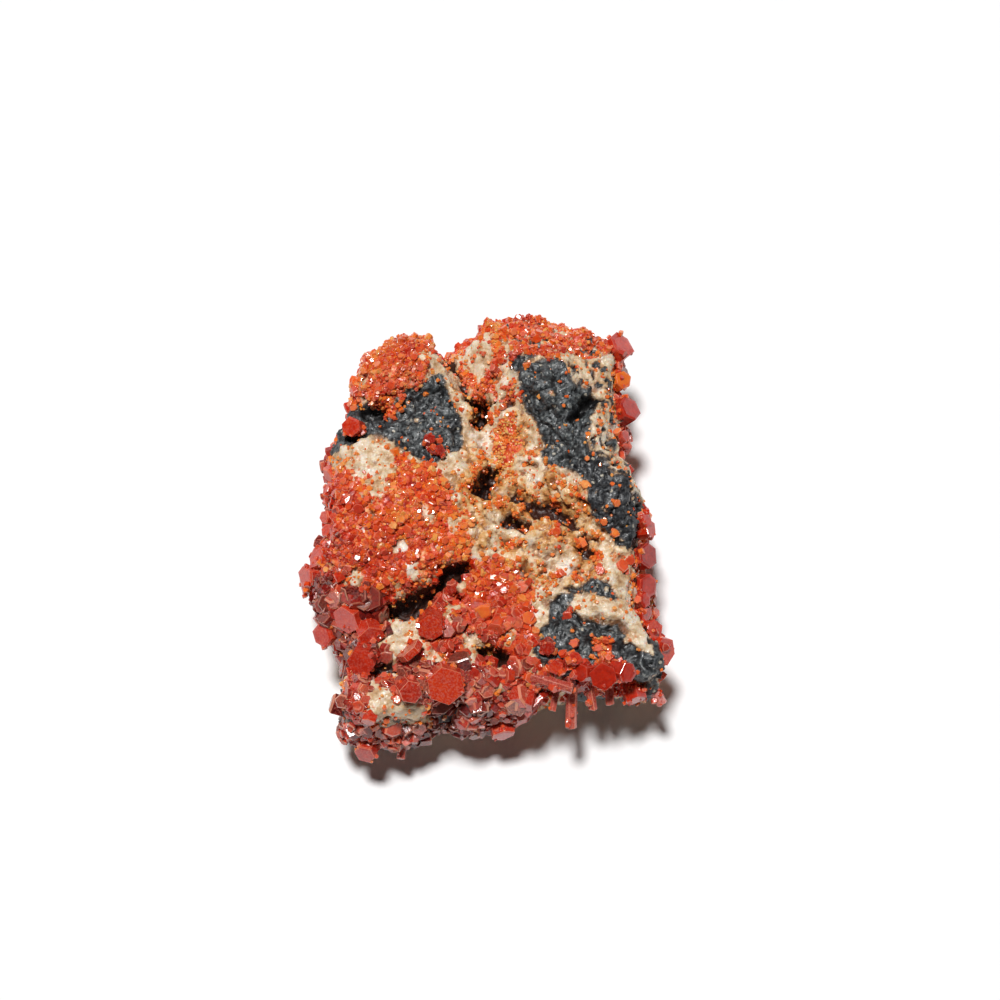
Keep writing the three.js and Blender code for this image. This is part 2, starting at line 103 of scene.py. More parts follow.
def cell_noise(points, spacing, seed):
    """Distance to the nearest and second nearest of scattered seeds, and that seed's own value."""
    scaled = points / spacing + 100.0
    cells = np.floor(scaled).astype(np.int64)
    nearest = np.full(len(points), 9.0)
    second = np.full(len(points), 9.0)
    value = np.zeros(len(points))
    for neighbour in NEIGHBOURS:
        around = cells + neighbour
        drawn = CELL_VALUES[hashed(around, seed, len(CELL_VALUES))]
        distance = np.linalg.norm(around + drawn[:, :3] - scaled, axis=1)
        closer = distance < nearest
        second = np.where(closer, nearest, np.minimum(second, distance))
        value = np.where(closer, drawn[:, 3], value)
        nearest = np.where(closer, distance, nearest)
    return nearest, second, value


def ramp(values, start, end):
    """0 at start, 1 at end, and a smooth rise between."""
    share = np.clip((values - start) / (end - start), 0, 1)
    return share * share * (3 - 2 * share)


# ---- Zones of the specimen, in plan -------------------------------------------------------------

# Outlines in millimetres in the frame, seen from above: first the slate-grey to black rock.
DARK_ROCK = {
    "left hollow": [
        (-18.5, 9.1), (-17.9, 10.8), (-16.8, 11.8), (-15.9, 14.0), (-14.2, 14.1), (-12.6, 14.1),
        (-10.7, 13.1), (-10.0, 14.8), (-8.7, 15.4), (-6.8, 16.0), (-6.0, 16.7), (-5.3, 16.8),
        (-4.6, 15.7), (-3.9, 14.4), (-3.2, 12.9), (-2.6, 11.0), (-2.5, 9.2), (-3.2, 7.9),
        (-4.5, 7.5), (-5.5, 6.2), (-7.0, 5.9), (-8.6, 7.1), (-10.0, 8.0), (-11.2, 9.4),
        (-12.7, 10.0), (-14.4, 9.3), (-15.5, 8.4), (-17.0, 8.4),
    ],
    "ridge": [
        (4.1, 16.2), (4.8, 17.4), (6.2, 18.1), (8.0, 18.1), (9.1, 17.0), (10.0, 15.8),
        (11.2, 15.0), (12.6, 14.9), (13.1, 13.5), (12.1, 11.3), (12.0, 9.6), (11.8, 7.8),
        (12.9, 7.0), (14.3, 6.9), (15.4, 5.0), (16.8, 4.1), (18.8, 3.5), (19.0, 2.0),
        (18.8, -2.0), (16.0, -3.7), (14.2, -2.9), (13.3, -1.2), (12.4, 0.0), (11.7, 1.3),
        (11.5, 3.2), (10.4, 4.4), (9.1, 4.8), (7.5, 5.6), (6.3, 6.4), (6.6, 8.1),
        (6.3, 9.8), (5.3, 11.2), (4.3, 12.6), (4.1, 14.3),
    ],
    "near": [
        (6.1, -13.0), (7.0, -11.1), (7.2, -9.8), (8.5, -8.8), (9.7, -9.3), (9.0, -10.5),
        (10.3, -11.2), (11.0, -11.9), (12.7, -12.2), (14.7, -12.7), (16.0, -13.9), (17.6, -15.4),
        (18.6, -13.8), (20.8, -15.2), (20.8, -19.6), (17.3, -19.1), (15.1, -18.7), (13.1, -18.7),
        (10.5, -18.9), (7.8, -18.2), (6.0, -16.9), (4.9, -15.5), (5.4, -14.1),
    ],
    "streak": [
        (9.0, -8.4), (10.6, -8.4), (11.9, -7.5), (13.2, -8.1), (14.8, -9.0), (15.5, -9.6),
        (14.1, -10.0), (12.3, -9.2), (10.5, -8.9),
    ],
    "far": [(2.5, 23.7), (3.9, 24.0), (4.7, 22.6), (3.9, 21.4), (2.5, 22.1)],
    "ridge foot": [
        (3.0, 19.2), (4.6, 19.1), (5.7, 20.2), (6.8, 20.2), (7.1, 19.3), (5.0, 18.2),
        (4.1, 16.9), (3.2, 17.4),
    ],
}
# Barite and dark rock mixed.
SPECKLED = [
    (9.6, 18.4), (11.1, 18.6), (13.1, 18.9), (14.7, 17.9), (15.4, 14.7), (16.2, 13.0),
    (16.8, 9.7), (17.8, 8.5), (18.8, 5.0), (18.8, 3.2), (16.5, 2.7), (15.4, 4.2), (14.0, 4.7),
    (13.4, 6.5), (11.8, 7.3), (11.6, 8.7), (12.3, 10.4), (12.8, 13.2), (11.5, 15.1), (9.8, 15.7),
]
# Barite stained gold by iron.
GOLD = [
    (-3.2, 15.5), (-1.9, 16.7), (-0.2, 14.6), (1.6, 13.7), (3.3, 13.6), (4.8, 12.2), (6.2, 10.0),
    (6.6, 8.1), (6.1, 6.4), (7.9, 5.1), (10.0, 4.2), (11.5, 2.6), (11.9, 0.7), (13.3, -1.4),
    (14.2, -3.5), (17.1, -3.5), (17.6, -5.6), (14.1, -7.1), (11.0, -7.9), (7.9, -8.8),
    (6.1, -9.7), (3.8, -8.6), (1.6, -5.8), (-1.3, -4.8), (-2.2, -3.2), (-3.3, -0.5),
    (-4.0, 1.3), (-4.3, 3.4), (-2.7, 5.3), (-2.5, 7.9), (-2.0, 10.5),
]
# Ground covered by small crystals, with the habit of the crystals there.
DRUSE = {
    "cap": [
        (-14.2, 22.1), (-12.4, 22.7), (-10.7, 23.1), (-10.3, 23.7), (-8.3, 23.7), (-6.7, 22.3),
        (-6.4, 19.1), (-6.5, 17.3), (-7.5, 16.0), (-8.6, 15.5), (-9.4, 14.7), (-9.9, 13.6),
        (-10.2, 12.1), (-11.2, 11.8), (-12.1, 13.4), (-13.7, 14.1), (-15.6, 13.8), (-16.2, 15.5),
        (-16.2, 18.4), (-15.6, 20.7),
    ],
    "far": [
        (-5.6, 20.7), (-4.2, 23.3), (-1.9, 25.0), (1.4, 25.9), (4.0, 26.1), (6.9, 25.7),
        (9.8, 25.5), (13.3, 24.5), (15.8, 22.7), (15.2, 19.9), (12.0, 19.5), (9.2, 20.0),
        (6.8, 18.9), (4.4, 18.8), (3.2, 17.7), (3.4, 15.3), (3.9, 13.8), (2.5, 13.1),
        (0.9, 13.6), (-0.4, 14.8), (-1.4, 15.1), (-2.6, 16.8), (-3.5, 18.9), (-4.7, 19.9),
    ],
    "mound": [
        (-19.2, 6.7), (-15.9, 6.0), (-13.8, 5.2), (-11.4, 3.9), (-10.4, 6.1), (-10.0, 7.8),
        (-8.4, 6.1), (-6.3, 5.7), (-4.9, 4.2), (-3.8, 2.4), (-2.9, 0.5), (-2.0, -1.8),
        (-1.3, -3.8), (-1.5, -5.2), (-5.1, -6.2), (-5.8, -7.4), (-7.8, -8.4), (-9.6, -9.5),
        (-11.7, -10.5), (-15.1, -10.1), (-17.4, -8.5), (-19.8, -5.2), (-19.8, -1.1), (-20.0, 3.5),
    ],
    "lower left": [
        (-21.5, -6.9), (-18.3, -6.0), (-15.6, -7.2), (-11.9, -9.3), (-10.9, -10.3),
        (-11.7, -11.7), (-10.2, -13.1), (-10.6, -15.5), (-11.9, -17.0), (-14.7, -17.8),
        (-18.2, -14.6), (-20.5, -11.1),
    ],
    "terrace": [
        (-1.3, -5.4), (1.6, -4.9), (3.8, -6.8), (5.6, -8.4), (4.7, -10.2), (5.6, -12.9),
        (4.9, -15.2), (4.3, -17.1), (2.7, -18.3), (0.5, -17.8), (-1.7, -16.7), (-3.0, -17.8),
        (-5.8, -16.2), (-6.6, -14.4), (-6.2, -12.4), (-7.0, -10.6), (-6.2, -9.2), (-4.4, -7.9),
        (-2.6, -6.7),
    ],
    "front": [
        (-9.5, -17.0), (-6.1, -16.3), (-1.7, -17.0), (1.6, -17.3), (4.9, -17.1), (6.0, -18.9),
        (5.9, -22.9), (2.7, -24.4), (-0.6, -24.3), (-3.8, -24.3), (-4.4, -21.6), (-5.0, -20.9),
        (-7.6, -20.6), (-8.9, -19.4),
    ],
    "near right": [
        (5.6, -17.1), (8.2, -18.2), (10.5, -17.6), (13.2, -16.2), (15.1, -17.0), (16.6, -18.0),
        (17.3, -20.6), (14.9, -21.8), (11.7, -21.2), (8.5, -20.9), (6.3, -21.1),
    ],
    "corner": [
        (-18.3, -19.6), (-16.2, -18.0), (-13.2, -18.2), (-9.5, -17.6), (-7.1, -20.5),
        (-5.3, -21.1), (-4.4, -22.0), (-3.8, -24.3), (-8.4, -25.5), (-11.6, -27.1),
        (-14.9, -27.1), (-18.7, -23.9),
    ],
    "stripe": [
        (1.2, 11.6), (2.8, 11.8), (3.9, 10.3), (3.7, 7.9), (3.2, 5.5), (2.1, 4.7), (1.2, 6.9),
        (1.4, 8.9), (0.7, 10.6),
    ],
    "brown": [(11.8, -14.0), (13.2, -13.7), (14.3, -14.8), (13.6, -15.8), (12.3, -16.0)],
}
# Bare pale barite inside that ground or beside it.
CREAM = {
    "far": [(-2.6, 21.3), (-1.2, 21.7), (-0.2, 20.3), (0.2, 18.5), (-0.2, 17.1), (-1.4, 17.1),
            (-2.4, 18.2), (-2.8, 19.9)],
    "mound top": [(-15.4, 6.4), (-12.9, 7.4), (-11.3, 6.9), (-10.8, 4.9), (-11.2, 2.8),
                  (-12.6, 0.6), (-13.6, 1.7), (-13.3, 4.2), (-14.7, 4.8)],
    "corner": [(-13.2, -20.2), (-11.2, -19.6), (-8.9, -20.0), (-7.4, -20.9), (-6.2, -21.4),
               (-6.1, -22.5), (-7.0, -23.9), (-9.2, -24.5), (-11.4, -24.3), (-12.6, -23.2),
               (-13.4, -21.8)],
    "inner": [(-9.2, -12.9), (-7.9, -12.4), (-7.1, -13.9), (-7.3, -15.3), (-8.5, -16.3),
              (-9.8, -15.6), (-11.4, -15.1), (-12.3, -14.7), (-12.1, -14.1), (-10.8, -13.4)],
    "terrace": [(-2.2, -13.2), (-0.8, -12.7), (0.3, -13.9), (0.1, -15.3), (-1.5, -16.7),
                (-2.8, -15.9)],
    "terrace edge": [(-4.6, -10.3), (-3.6, -9.9), (-3.6, -11.9), (-4.6, -12.1)],
}
# Barite veins across the dark rock.
PALE_STREAKS = {
    "vein": [(15.2, -13.0), (16.3, -13.5), (18.6, -14.9), (18.7, -15.8), (17.2, -15.4),
             (15.8, -14.4)],
    "far": [(6.5, 24.5), (8.6, 24.7), (9.3, 23.4), (11.3, 22.2), (11.1, 20.8), (9.2, 20.9),
            (7.6, 22.5), (6.7, 22.6)],
}
# White spots, and the blackest part of the dark rock.
BRIGHT = [(-13.4, -2.3), (-5.0, -4.2), (9.2, -5.9), (-9.1, -4.4), (-8.6, -6.5)]
BLACK_ROCK = [(12.0, 6.5), (15.8, 5.3), (18.4, 2.7), (18.8, -2.3), (15.8, -3.3), (14.2, -2.3),
              (12.2, 0.7), (11.6, 3.3), (9.4, 5.1)]
# Cavities and shadowed hollows: depth and outline; the depth also sets the shade painted inside
# them.
PITS = [
    (4.0, [(-2.3, 14.4), (-0.2, 14.5), (0.9, 13.6), (0.3, 13.3), (0.2, 11.8), (-0.7, 10.8),
           (-1.4, 12.2), (-1.4, 13.2)]),
    (1.2, [(-4.8, 18.9), (-4.6, 21.6), (-2.7, 17.7), (-1.8, 14.8), (-2.4, 14.0), (-3.4, 17.6)]),
    (3.0, [(-0.7, 5.1), (0.2, 6.1), (1.5, 5.8), (1.4, 4.8), (0.2, 4.4), (0.5, 2.4), (-0.9, 2.8),
           (-1.3, 3.7)]),
    (1.6, [(2.7, 2.8), (3.4, 3.0), (4.3, 2.2), (4.3, 1.4), (3.4, 1.5), (2.7, 2.0)]),
    (2.2, [(2.5, 0.1), (3.2, 0.5), (4.8, -0.8), (4.6, -1.9), (3.6, -1.5), (2.1, -1.2),
           (2.1, -0.5)]),
    (1.5, [(10.4, -2.2), (11.3, -2.1), (12.0, -3.7), (12.4, -4.2), (10.6, -4.6), (10.2, -3.7)]),
    (3.6, [(-0.6, -14.9), (0.8, -14.6), (1.9, -15.4), (2.8, -16.3), (2.0, -16.8), (0.0, -16.3)]),
    (1.8, [(-3.9, -8.6), (-3.2, -8.4), (-2.4, -9.2), (-3.3, -9.2)]),
    (1.8, [(-14.4, 13.5), (-12.8, 13.7), (-11.2, 13.5), (-11.6, 12.2), (-13.0, 11.8),
           (-14.4, 12.5)]),
    (1.3, [(-16.2, 10.8), (-14.3, 10.7), (-14.1, 9.6), (-15.5, 9.3)]),
    (3.2, [(-5.1, -6.0), (-1.8, -5.2), (-1.3, -6.0), (-3.3, -7.6), (-5.1, -8.0)]),
    (3.2, [(-2.0, -6.6), (-4.2, -7.9), (-6.3, -9.3), (-6.8, -11.7), (-9.1, -11.7),
           (-10.9, -11.3), (-11.3, -10.4), (-9.4, -9.6), (-7.6, -8.5), (-5.5, -7.5)]),
    (1.0, [(2.0, 14.0), (3.0, 14.2), (3.3, 13.3), (2.3, 13.0)]),
    (1.8, [(9.1, 10.7), (10.2, 12.2), (12.1, 14.1), (13.3, 13.9), (11.2, 12.2), (9.9, 10.5)]),
    (0.9, [(10.3, -11.7), (12.7, -11.9), (15.2, -12.4), (15.7, -13.4), (12.7, -13.1),
           (10.7, -12.6)]),
    (1.5, [(4.3, 2.1), (6.7, 1.6), (9.1, 0.5), (10.6, -1.4), (8.4, -1.1), (6.1, 0.2),
           (4.3, 0.9)]),
    (2.2, [(-6.4, -21.7), (-4.5, -21.1), (-2.6, -20.2), (-2.2, -20.8), (-4.0, -22.1),
           (-5.6, -22.3)]),
    (0.9, [(-4.8, 3.4), (-3.4, 3.5), (-3.2, 2.5), (-4.5, 2.2)]),
    (0.9, [(3.2, -6.8), (4.3, -6.0), (5.3, -6.6), (4.4, -7.4), (3.6, -7.8)]),
    (0.5, [(4.5, -3.5), (5.2, -3.9), (7.2, -4.7), (7.9, -4.9), (6.5, -5.1), (5.0, -4.2)]),
    (1.5, [(-15.9, -15.7), (-13.7, -18.3), (-11.5, -17.8), (-9.7, -17.4), (-10.4, -16.6),
           (-11.7, -16.9)]),
]


def outline_distance(points, outline):
    """Distance in plan to an outline: positive inside it, negative outside."""
    flat = points[:, :2]
    corners = np.array(outline, float)
    distance = np.full(len(flat), np.inf)
    inside = np.zeros(len(flat), bool)
    for start, end in zip(corners, np.roll(corners, -1, axis=0)):
        edge = end - start
        share = np.clip((flat - start) @ edge / (edge @ edge), 0, 1)
        gap = np.linalg.norm(flat - start - share[:, None] * edge, axis=1)
        distance = np.minimum(distance, gap)
        crosses = (start[1] > flat[:, 1]) != (end[1] > flat[:, 1])
        rise = np.where(edge[1] == 0, 1e-9, edge[1])
        inside ^= crosses & (flat[:, 0] < start[0] + (flat[:, 1] - start[1]) * edge[0] / rise)
    return np.where(inside, distance, -distance)


def within(points, outlines, soft, ragged):
    """1 inside any of the outlines, 0 outside, with an uneven edge soft millimetres wide."""
    reach = np.max([outline_distance(points, outline) for outline in outlines], axis=0)
    return ramp(reach + ragged, -soft, soft)


def nearness(points, places, radius):
    """1 at any of the places in plan, falling smoothly to 0 about a radius away."""
    gaps = [np.linalg.norm(points[:, :2] - place, axis=1) for place in places]
    return np.exp(-((np.min(gaps, axis=0) / radius) ** 2))


def zones_at(points, normals):
    """The make-up of the specimen at each point, each part from 0 to 1."""
    ragged = 0.55 * smooth_noise(points, 2.2, 10) + 0.4 * smooth_noise(points, 0.9, 11)
    ragged += 0.25 * smooth_noise(points, 0.4, 12)
    upper = np.maximum(ramp(normals[:, 2], 0.05, 0.35), ramp(points[:, 2], 12.5, 13.5))
    dark = within(points, DARK_ROCK.values(), 0.2, 0.8 * ragged)
    mottled = within(points, [SPECKLED], 0.6, ragged)
    dapple = smooth_noise(points, 1.5, 13) + 0.7 * smooth_noise(points, 0.6, 14)
    pepper = 0.6 * smooth_noise(points, 1.6, 13) + smooth_noise(points, 0.7, 14)
    dark = dark * (1 - mottled) + mottled * ramp(pepper, 0.1, 0.3)
    far_mix = within(points, [DRUSE["far"]], 0.5, ragged) * ramp(points[:, 0], 2.0, 5.0)
    dark = np.maximum(dark, far_mix * ramp(dapple, 0.0, 0.2))
    dark *= 1 - within(points, PALE_STREAKS.values(), 0.12, 0.4 * ragged)
    flecks = smooth_noise(points, 0.8, 15) + 0.25 * smooth_noise(points, 3.0, 19)
    dark *= 1 - 0.9 * ramp(flecks, 0.62, 0.76)
    patches = fractal_noise(points, 7.0, 16)
    side_dark = ramp(patches + 0.35 * dapple, 0.12, 0.32)
    dark = dark * upper + side_dark * (1 - upper)
    druse = within(points, DRUSE.values(), 0.7, 1.5 * ragged)
    bare = 0.9 * within(points, CREAM.values(), 0.6, 1.6 * ragged)
    bare = np.maximum(bare, nearness(points, BRIGHT, 0.6))
    windows = ramp(fractal_noise(points, 2.2, 17), 0.22, 0.5)
    druse = druse * (1 - bare) * (1 - 0.85 * windows) * upper
    thin = within(points, [DRUSE["far"]], 0.8, ragged)
    druse *= 1 - 0.8 * thin * ramp(fractal_noise(points, 1.8, 34), -0.05, 0.3)
    gold = within(points, [GOLD], 0.9, 1.5 * ragged) * upper
    gold *= 0.15 + 0.85 * ramp(fractal_noise(points, 3.2, 20), -0.45, 0.15)
    gold = np.maximum(gold, (1 - upper) * 0.7 * ramp(patches, -0.05, -0.35))
    depth = np.zeros(len(points))
    for deep, outline in PITS:
        reach = outline_distance(points, outline) + 0.3 + 0.6 * ragged
        depth = np.maximum(depth, deep * ramp(reach, -0.15, min(0.55, 0.3 * deep + 0.1)))
    depth *= upper
    black = within(points, [BLACK_ROCK], 0.6, ragged)
    black = np.maximum(black, 0.7 * ramp(fractal_noise(points, 2.6, 18), 0.0, 0.5))
    bright = nearness(points, BRIGHT, 0.7)
    return {
        "dark": dark, "gold": gold * (1 - dark), "druse": druse, "depth": depth,
        "black": black, "bright": bright, "upper": upper,
    }


# ---- Meshes from arrays -------------------------------------------------------------------------

def read_rows(items, field, width, kind):
    flat = np.empty(len(items) * width, kind)
    items.foreach_get(field, flat)
    return flat.reshape(-1, width)


def vertices_of(mesh):
    return read_rows(mesh.vertices, "co", 3, np.float32).astype(float) / MM


def set_vertices(mesh, points):
    mesh.vertices.foreach_set("co", (points * MM).astype(np.float32).ravel())
    mesh.update()


def triangles_of(mesh):
    mesh.calc_loop_triangles()
    return read_rows(mesh.loop_triangles, "vertices", 3, np.int32)


def edges_of(mesh):
    return read_rows(mesh.edges, "vertices", 2, np.int32)


def vertex_normals(points, triangles):
    corners = points[triangles]
    facing = np.cross(corners[:, 1] - corners[:, 0], corners[:, 2] - corners[:, 0])
    total = np.zeros_like(points)
    for corner in range(3):
        for axis in range(3):
            total[:, axis] += np.bincount(
                triangles[:, corner], facing[:, axis], minlength=len(points))
    return total / np.maximum(np.linalg.norm(total, axis=1, keepdims=True), 1e-12)


def blurred(values, edges, rounds):
    """Each vertex's value averaged with its neighbours', several times over."""
    values = values if values.ndim == 2 else values[:, None]
    size = len(values)
    degree = np.bincount(edges.ravel(), minlength=size)[:, None] + 1
    for _ in range(rounds):
        total = values.copy()
        for column in range(values.shape[1]):
            for here, there in (edges.T, edges.T[::-1]):
                total[:, column] += np.bincount(here, values[there, column], minlength=size)
        values = total / degree
    return values if values.shape[1] > 1 else values[:, 0]


def new_object(name, data):
    made = bpy.data.objects.new(name, data)
    bpy.context.scene.collection.objects.link(made)
    return made


def mesh_object(name, points, faces):
    """A new object from points and a list of face arrays, each array holding faces of one size."""
    mesh = bpy.data.meshes.new(name)
    loops = np.concatenate([array.ravel() for array in faces]).astype(np.int32)
    sizes = np.concatenate([np.full(len(array), array.shape[1]) for array in faces])
    starts = np.concatenate([[0], np.cumsum(sizes)[:-1]]).astype(np.int32)
    mesh.vertices.add(len(points))
    mesh.loops.add(len(loops))
    mesh.polygons.add(len(sizes))
    mesh.vertices.foreach_set("co", (points * MM).astype(np.float32).ravel())
    mesh.loops.foreach_set("vertex_index", loops)
    mesh.polygons.foreach_set("loop_start", starts)
    mesh.update(calc_edges=True)
    mesh.validate()
    mesh.shade_flat()
    return new_object(name, mesh)


def set_attribute(mesh, name, values, domain="POINT"):
    layer = mesh.attributes.new(name, "FLOAT", domain)
    layer.data.foreach_set("value", np.asarray(values, np.float32))


def add_piece(piece, slot, material, *nodes):
    """Rides the piece on the specimen's body, in place of the CAD nodes it stands for."""
    piece.data.materials.clear()
    piece.data.materials.append(material)
    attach(piece, "root")
    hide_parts(*nodes)


# ---- Materials ----------------------------------------------------------------------------------

NOISE_ROUGHNESS = 0.55
BARITE_IOR, VANADINITE_IOR = 1.64, 1.8
# What the rock's mesh carries at each vertex, for its material.
ROCK_ATTRIBUTES = (
    "dark", "gold", "druse", "hollow", "crease", "black", "bright", "pit", "stain")


class Shader:
    """A short way to write a material's nodes."""

    def __init__(self, name):
        self.material = bpy.data.materials.new(name)
        self.material.use_nodes = True
        self.tree = self.material.node_tree
        self.surface = self.tree.nodes["Principled BSDF"]

    def node(self, kind, settings=None, **inputs):
        made = self.tree.nodes.new("ShaderNode" + kind)
        for key, value in (settings or {}).items():
            setattr(made, key, value)
        for key, value in inputs.items():
            self.put(made, key.replace("_", " "), value)
        return made

    def put(self, made, socket, value):
        """Links a value that is another node's output, or sets one that is a number or colour."""
        if isinstance(value, bpy.types.NodeSocket):
            self.tree.links.new(value, made.inputs[socket])
        else:
            made.inputs[socket].default_value = value

    def set(self, **inputs):
        for key, value in inputs.items():
            self.put(self.surface, key.replace("_", " "), value)

    def attribute(self, name):
        return self.node("Attribute", {"attribute_name": name}).outputs["Fac"]

    def place(self):
        return self.node("TexCoord").outputs["Object"]

    def noise(self, spacing, detail):
        """Noise of 0 to 1 with lumps about spacing millimetres apart."""
        return self.node(
            "TexNoise", Vector=self.place(), Scale=1 / (spacing * MM), Detail=detail,
            Roughness=NOISE_ROUGHNESS).outputs["Fac"]

    def cells(self, spacing):
        """Distance from the nearest of seeds scattered about spacing millimetres apart."""
        return self.node(
            "TexVoronoi", Vector=self.place(), Scale=1 / (spacing * MM)).outputs["Distance"]

    def math(self, operation, first, second):
        made = self.node("Math", {"operation": operation})
        self.put(made, 0, first)
        self.put(made, 1, second)
        return made.outputs[0]

    def plus(self, first, second):
        return self.math("ADD", first, second)

    def minus(self, first, second):
        return self.math("SUBTRACT", first, second)

    def times(self, first, second):
        return self.math("MULTIPLY", first, second)

    def spread(self, value, low, high, to_low=0.0, to_high=1.0):
        """A smooth rise from to_low to to_high as the value goes from low to high."""
        made = self.node("MapRange", {"clamp": True, "interpolation_type": "SMOOTHSTEP"})
        for index, number in enumerate((value, low, high, to_low, to_high)):
            self.put(made, index, number)
        return made.outputs[0]

    def mix(self, share, first, second):
        """The first colour with a share of the second over it."""
        made = self.node("Mix", {"data_type": "RGBA"})
        self.put(made, 0, share)
        self.put(made, 6, first)
        self.put(made, 7, second)
        return made.outputs[2]

    def colours(self, value, stops):
        """A colour ramp through stops of a position and a linear colour."""
        made = self.node("ValToRGB", Fac=value)
        elements = made.color_ramp.elements
        while len(elements) < len(stops):
            elements.new(0.5)
        for element, (position, colour) in zip(elements, stops):
            element.position = position
            element.color = (*colour, 1.0)
        return made.outputs[0]

    def bump(self, height, distance, strength, normal=None):
        """Relief distance millimetres high, on top of another bump's normal if one is given."""
        made = self.node("Bump", Height=height, Distance=distance * MM, Strength=strength)
        if normal is not None:
            self.put(made, "Normal", normal)
        return made.outputs[0]


def rgb(red, green, blue):
    """A linear colour from 0-255 sRGB values."""
    def linear(value):
        value /= 255
        return value / 12.92 if value <= 0.04045 else ((value + 0.055) / 1.055) ** 2.4
    return linear(red), linear(green), linear(blue)


def colour4(*srgb):
    return (*rgb(*srgb), 1.0)


# Colour ramps: places along the grain of the rock, or along the tone of a crystal, and colours.
CREAM_BARITE = (
    (0.36, rgb(160, 118, 78)), (0.44, rgb(200, 164, 122)), (0.53, rgb(222, 200, 168)),
    (0.64, rgb(234, 224, 210)),
)
GOLDEN_BARITE = (
    (0.36, rgb(146, 80, 30)), (0.44, rgb(194, 130, 64)), (0.52, rgb(218, 172, 112)),
    (0.64, rgb(234, 212, 180)),
)
OCHRE = ((0.35, rgb(200, 82, 20)), (0.65, rgb(228, 132, 48)))
SLATE = (
    (0.38, rgb(24, 26, 28)), (0.48, rgb(52, 56, 58)), (0.58, rgb(86, 91, 92)),
    (0.68, rgb(166, 166, 158)),
)
SOOT = (
    (0.38, rgb(14, 15, 18)), (0.52, rgb(38, 40, 44)), (0.62, rgb(80, 82, 84)),
    (0.70, rgb(150, 148, 142)),
)
CRUST_BED = (
    (0.38, rgb(160, 30, 12)), (0.47, rgb(204, 58, 20)), (0.55, rgb(226, 98, 38)),
    (0.64, rgb(234, 168, 112)),
)
VANADINITE = (
    (0.0, rgb(84, 8, 6)), (0.2, rgb(146, 22, 12)), (0.4, rgb(194, 42, 16)),
    (0.6, rgb(224, 78, 24)), (0.78, rgb(238, 122, 40)), (1.0, rgb(244, 178, 96)),
)
# Paler, pinker colours for the prisms and spikes that hang under the front edge: their own red,
# paled by a painted reflection of the white floor.
PALE_VANADINITE = (
    (0.0, rgb(128, 34, 28)), (0.3, rgb(168, 62, 50)), (0.5, rgb(196, 94, 78)),
    (0.75, rgb(216, 128, 108)), (1.0, rgb(232, 170, 146)),
)


def barite_colour(s, zone, grain, hollow_shade):
    """Cream and golden barite, with ochre stains and specks, painted brown shade in creases and
    hollows, and white spots.
    """
    blend = s.plus(s.times(grain["coarse"], 0.5), s.times(grain["medium"], 0.5))
    gilded = s.spread(s.plus(zone["gold"], grain["centred"]), 0.35, 0.95)
    colour = s.mix(gilded, s.colours(blend, CREAM_BARITE), s.colours(blend, GOLDEN_BARITE))
    tinge = s.plus(zone["stain"], s.times(grain["centred"], 1.8))
    colour = s.mix(s.spread(tinge, 0.42, 0.85), colour, s.colours(grain["fine"], OCHRE))
    specks = s.times(s.spread(s.cells(0.8), 0.36, 0.24), s.spread(s.noise(2.4, 2), 0.48, 0.60))
    colour = s.mix(s.times(specks, 0.8), colour, colour4(206, 104, 30))
    # Painted shade: brown where the surface sinks below its close surroundings.
    crease_shade = s.times(s.spread(zone["crease"], 0.02, 0.16), 0.75)
    colour = s.mix(crease_shade, colour, colour4(132, 72, 30))
    # Painted shade: dark brown in the hollows.
    colour = s.mix(s.times(hollow_shade, 0.85), colour, colour4(104, 52, 20))
    return s.mix(zone["bright"], colour, colour4(252, 244, 232))


def dark_rock_colour(s, zone, grain, hollow_shade):
    """Slate-grey and sooty rock, with painted black shade in creases and hollows, and pale flecks.
    """
    blend = s.plus(s.times(grain["medium"], 0.5), s.times(grain["fine"], 0.5))
    sooty = s.spread(s.plus(zone["black"], grain["centred"]), 0.3, 0.8)
    colour = s.mix(sooty, s.colours(blend, SLATE), s.colours(blend, SOOT))
    # Painted shade: near black in the creases.
    crease_shade = s.times(s.spread(zone["crease"], 0.01, 0.12), 0.85)
    colour = s.mix(crease_shade, colour, colour4(16, 15, 16))
    # Painted shade: near black in the hollows.
    colour = s.mix(s.times(hollow_shade, 0.9), colour, colour4(12, 11, 12))
    flecks = s.times(s.spread(s.cells(1.3), 0.2, 0.12), s.spread(grain["medium"], 0.4, 0.55))
    return s.mix(s.times(flecks, 0.8), colour, colour4(206, 196, 176))


def bed_colour(s, zone, grain, hollow_shade):
    """The red to orange crust between the small crystals, with painted darker shade in creases and
    hollows.
    """
    blend = s.plus(s.times(grain["coarse"], 0.4), s.times(grain["medium"], 0.6))
    colour = s.colours(blend, CRUST_BED)
    # Painted shade: deep red in the creases.
    colour = s.mix(s.spread(zone["crease"], 0.06, 0.3), colour, colour4(132, 22, 10))
    # Painted shade: darker still in the hollows.
    return s.mix(hollow_shade, colour, colour4(84, 14, 8))


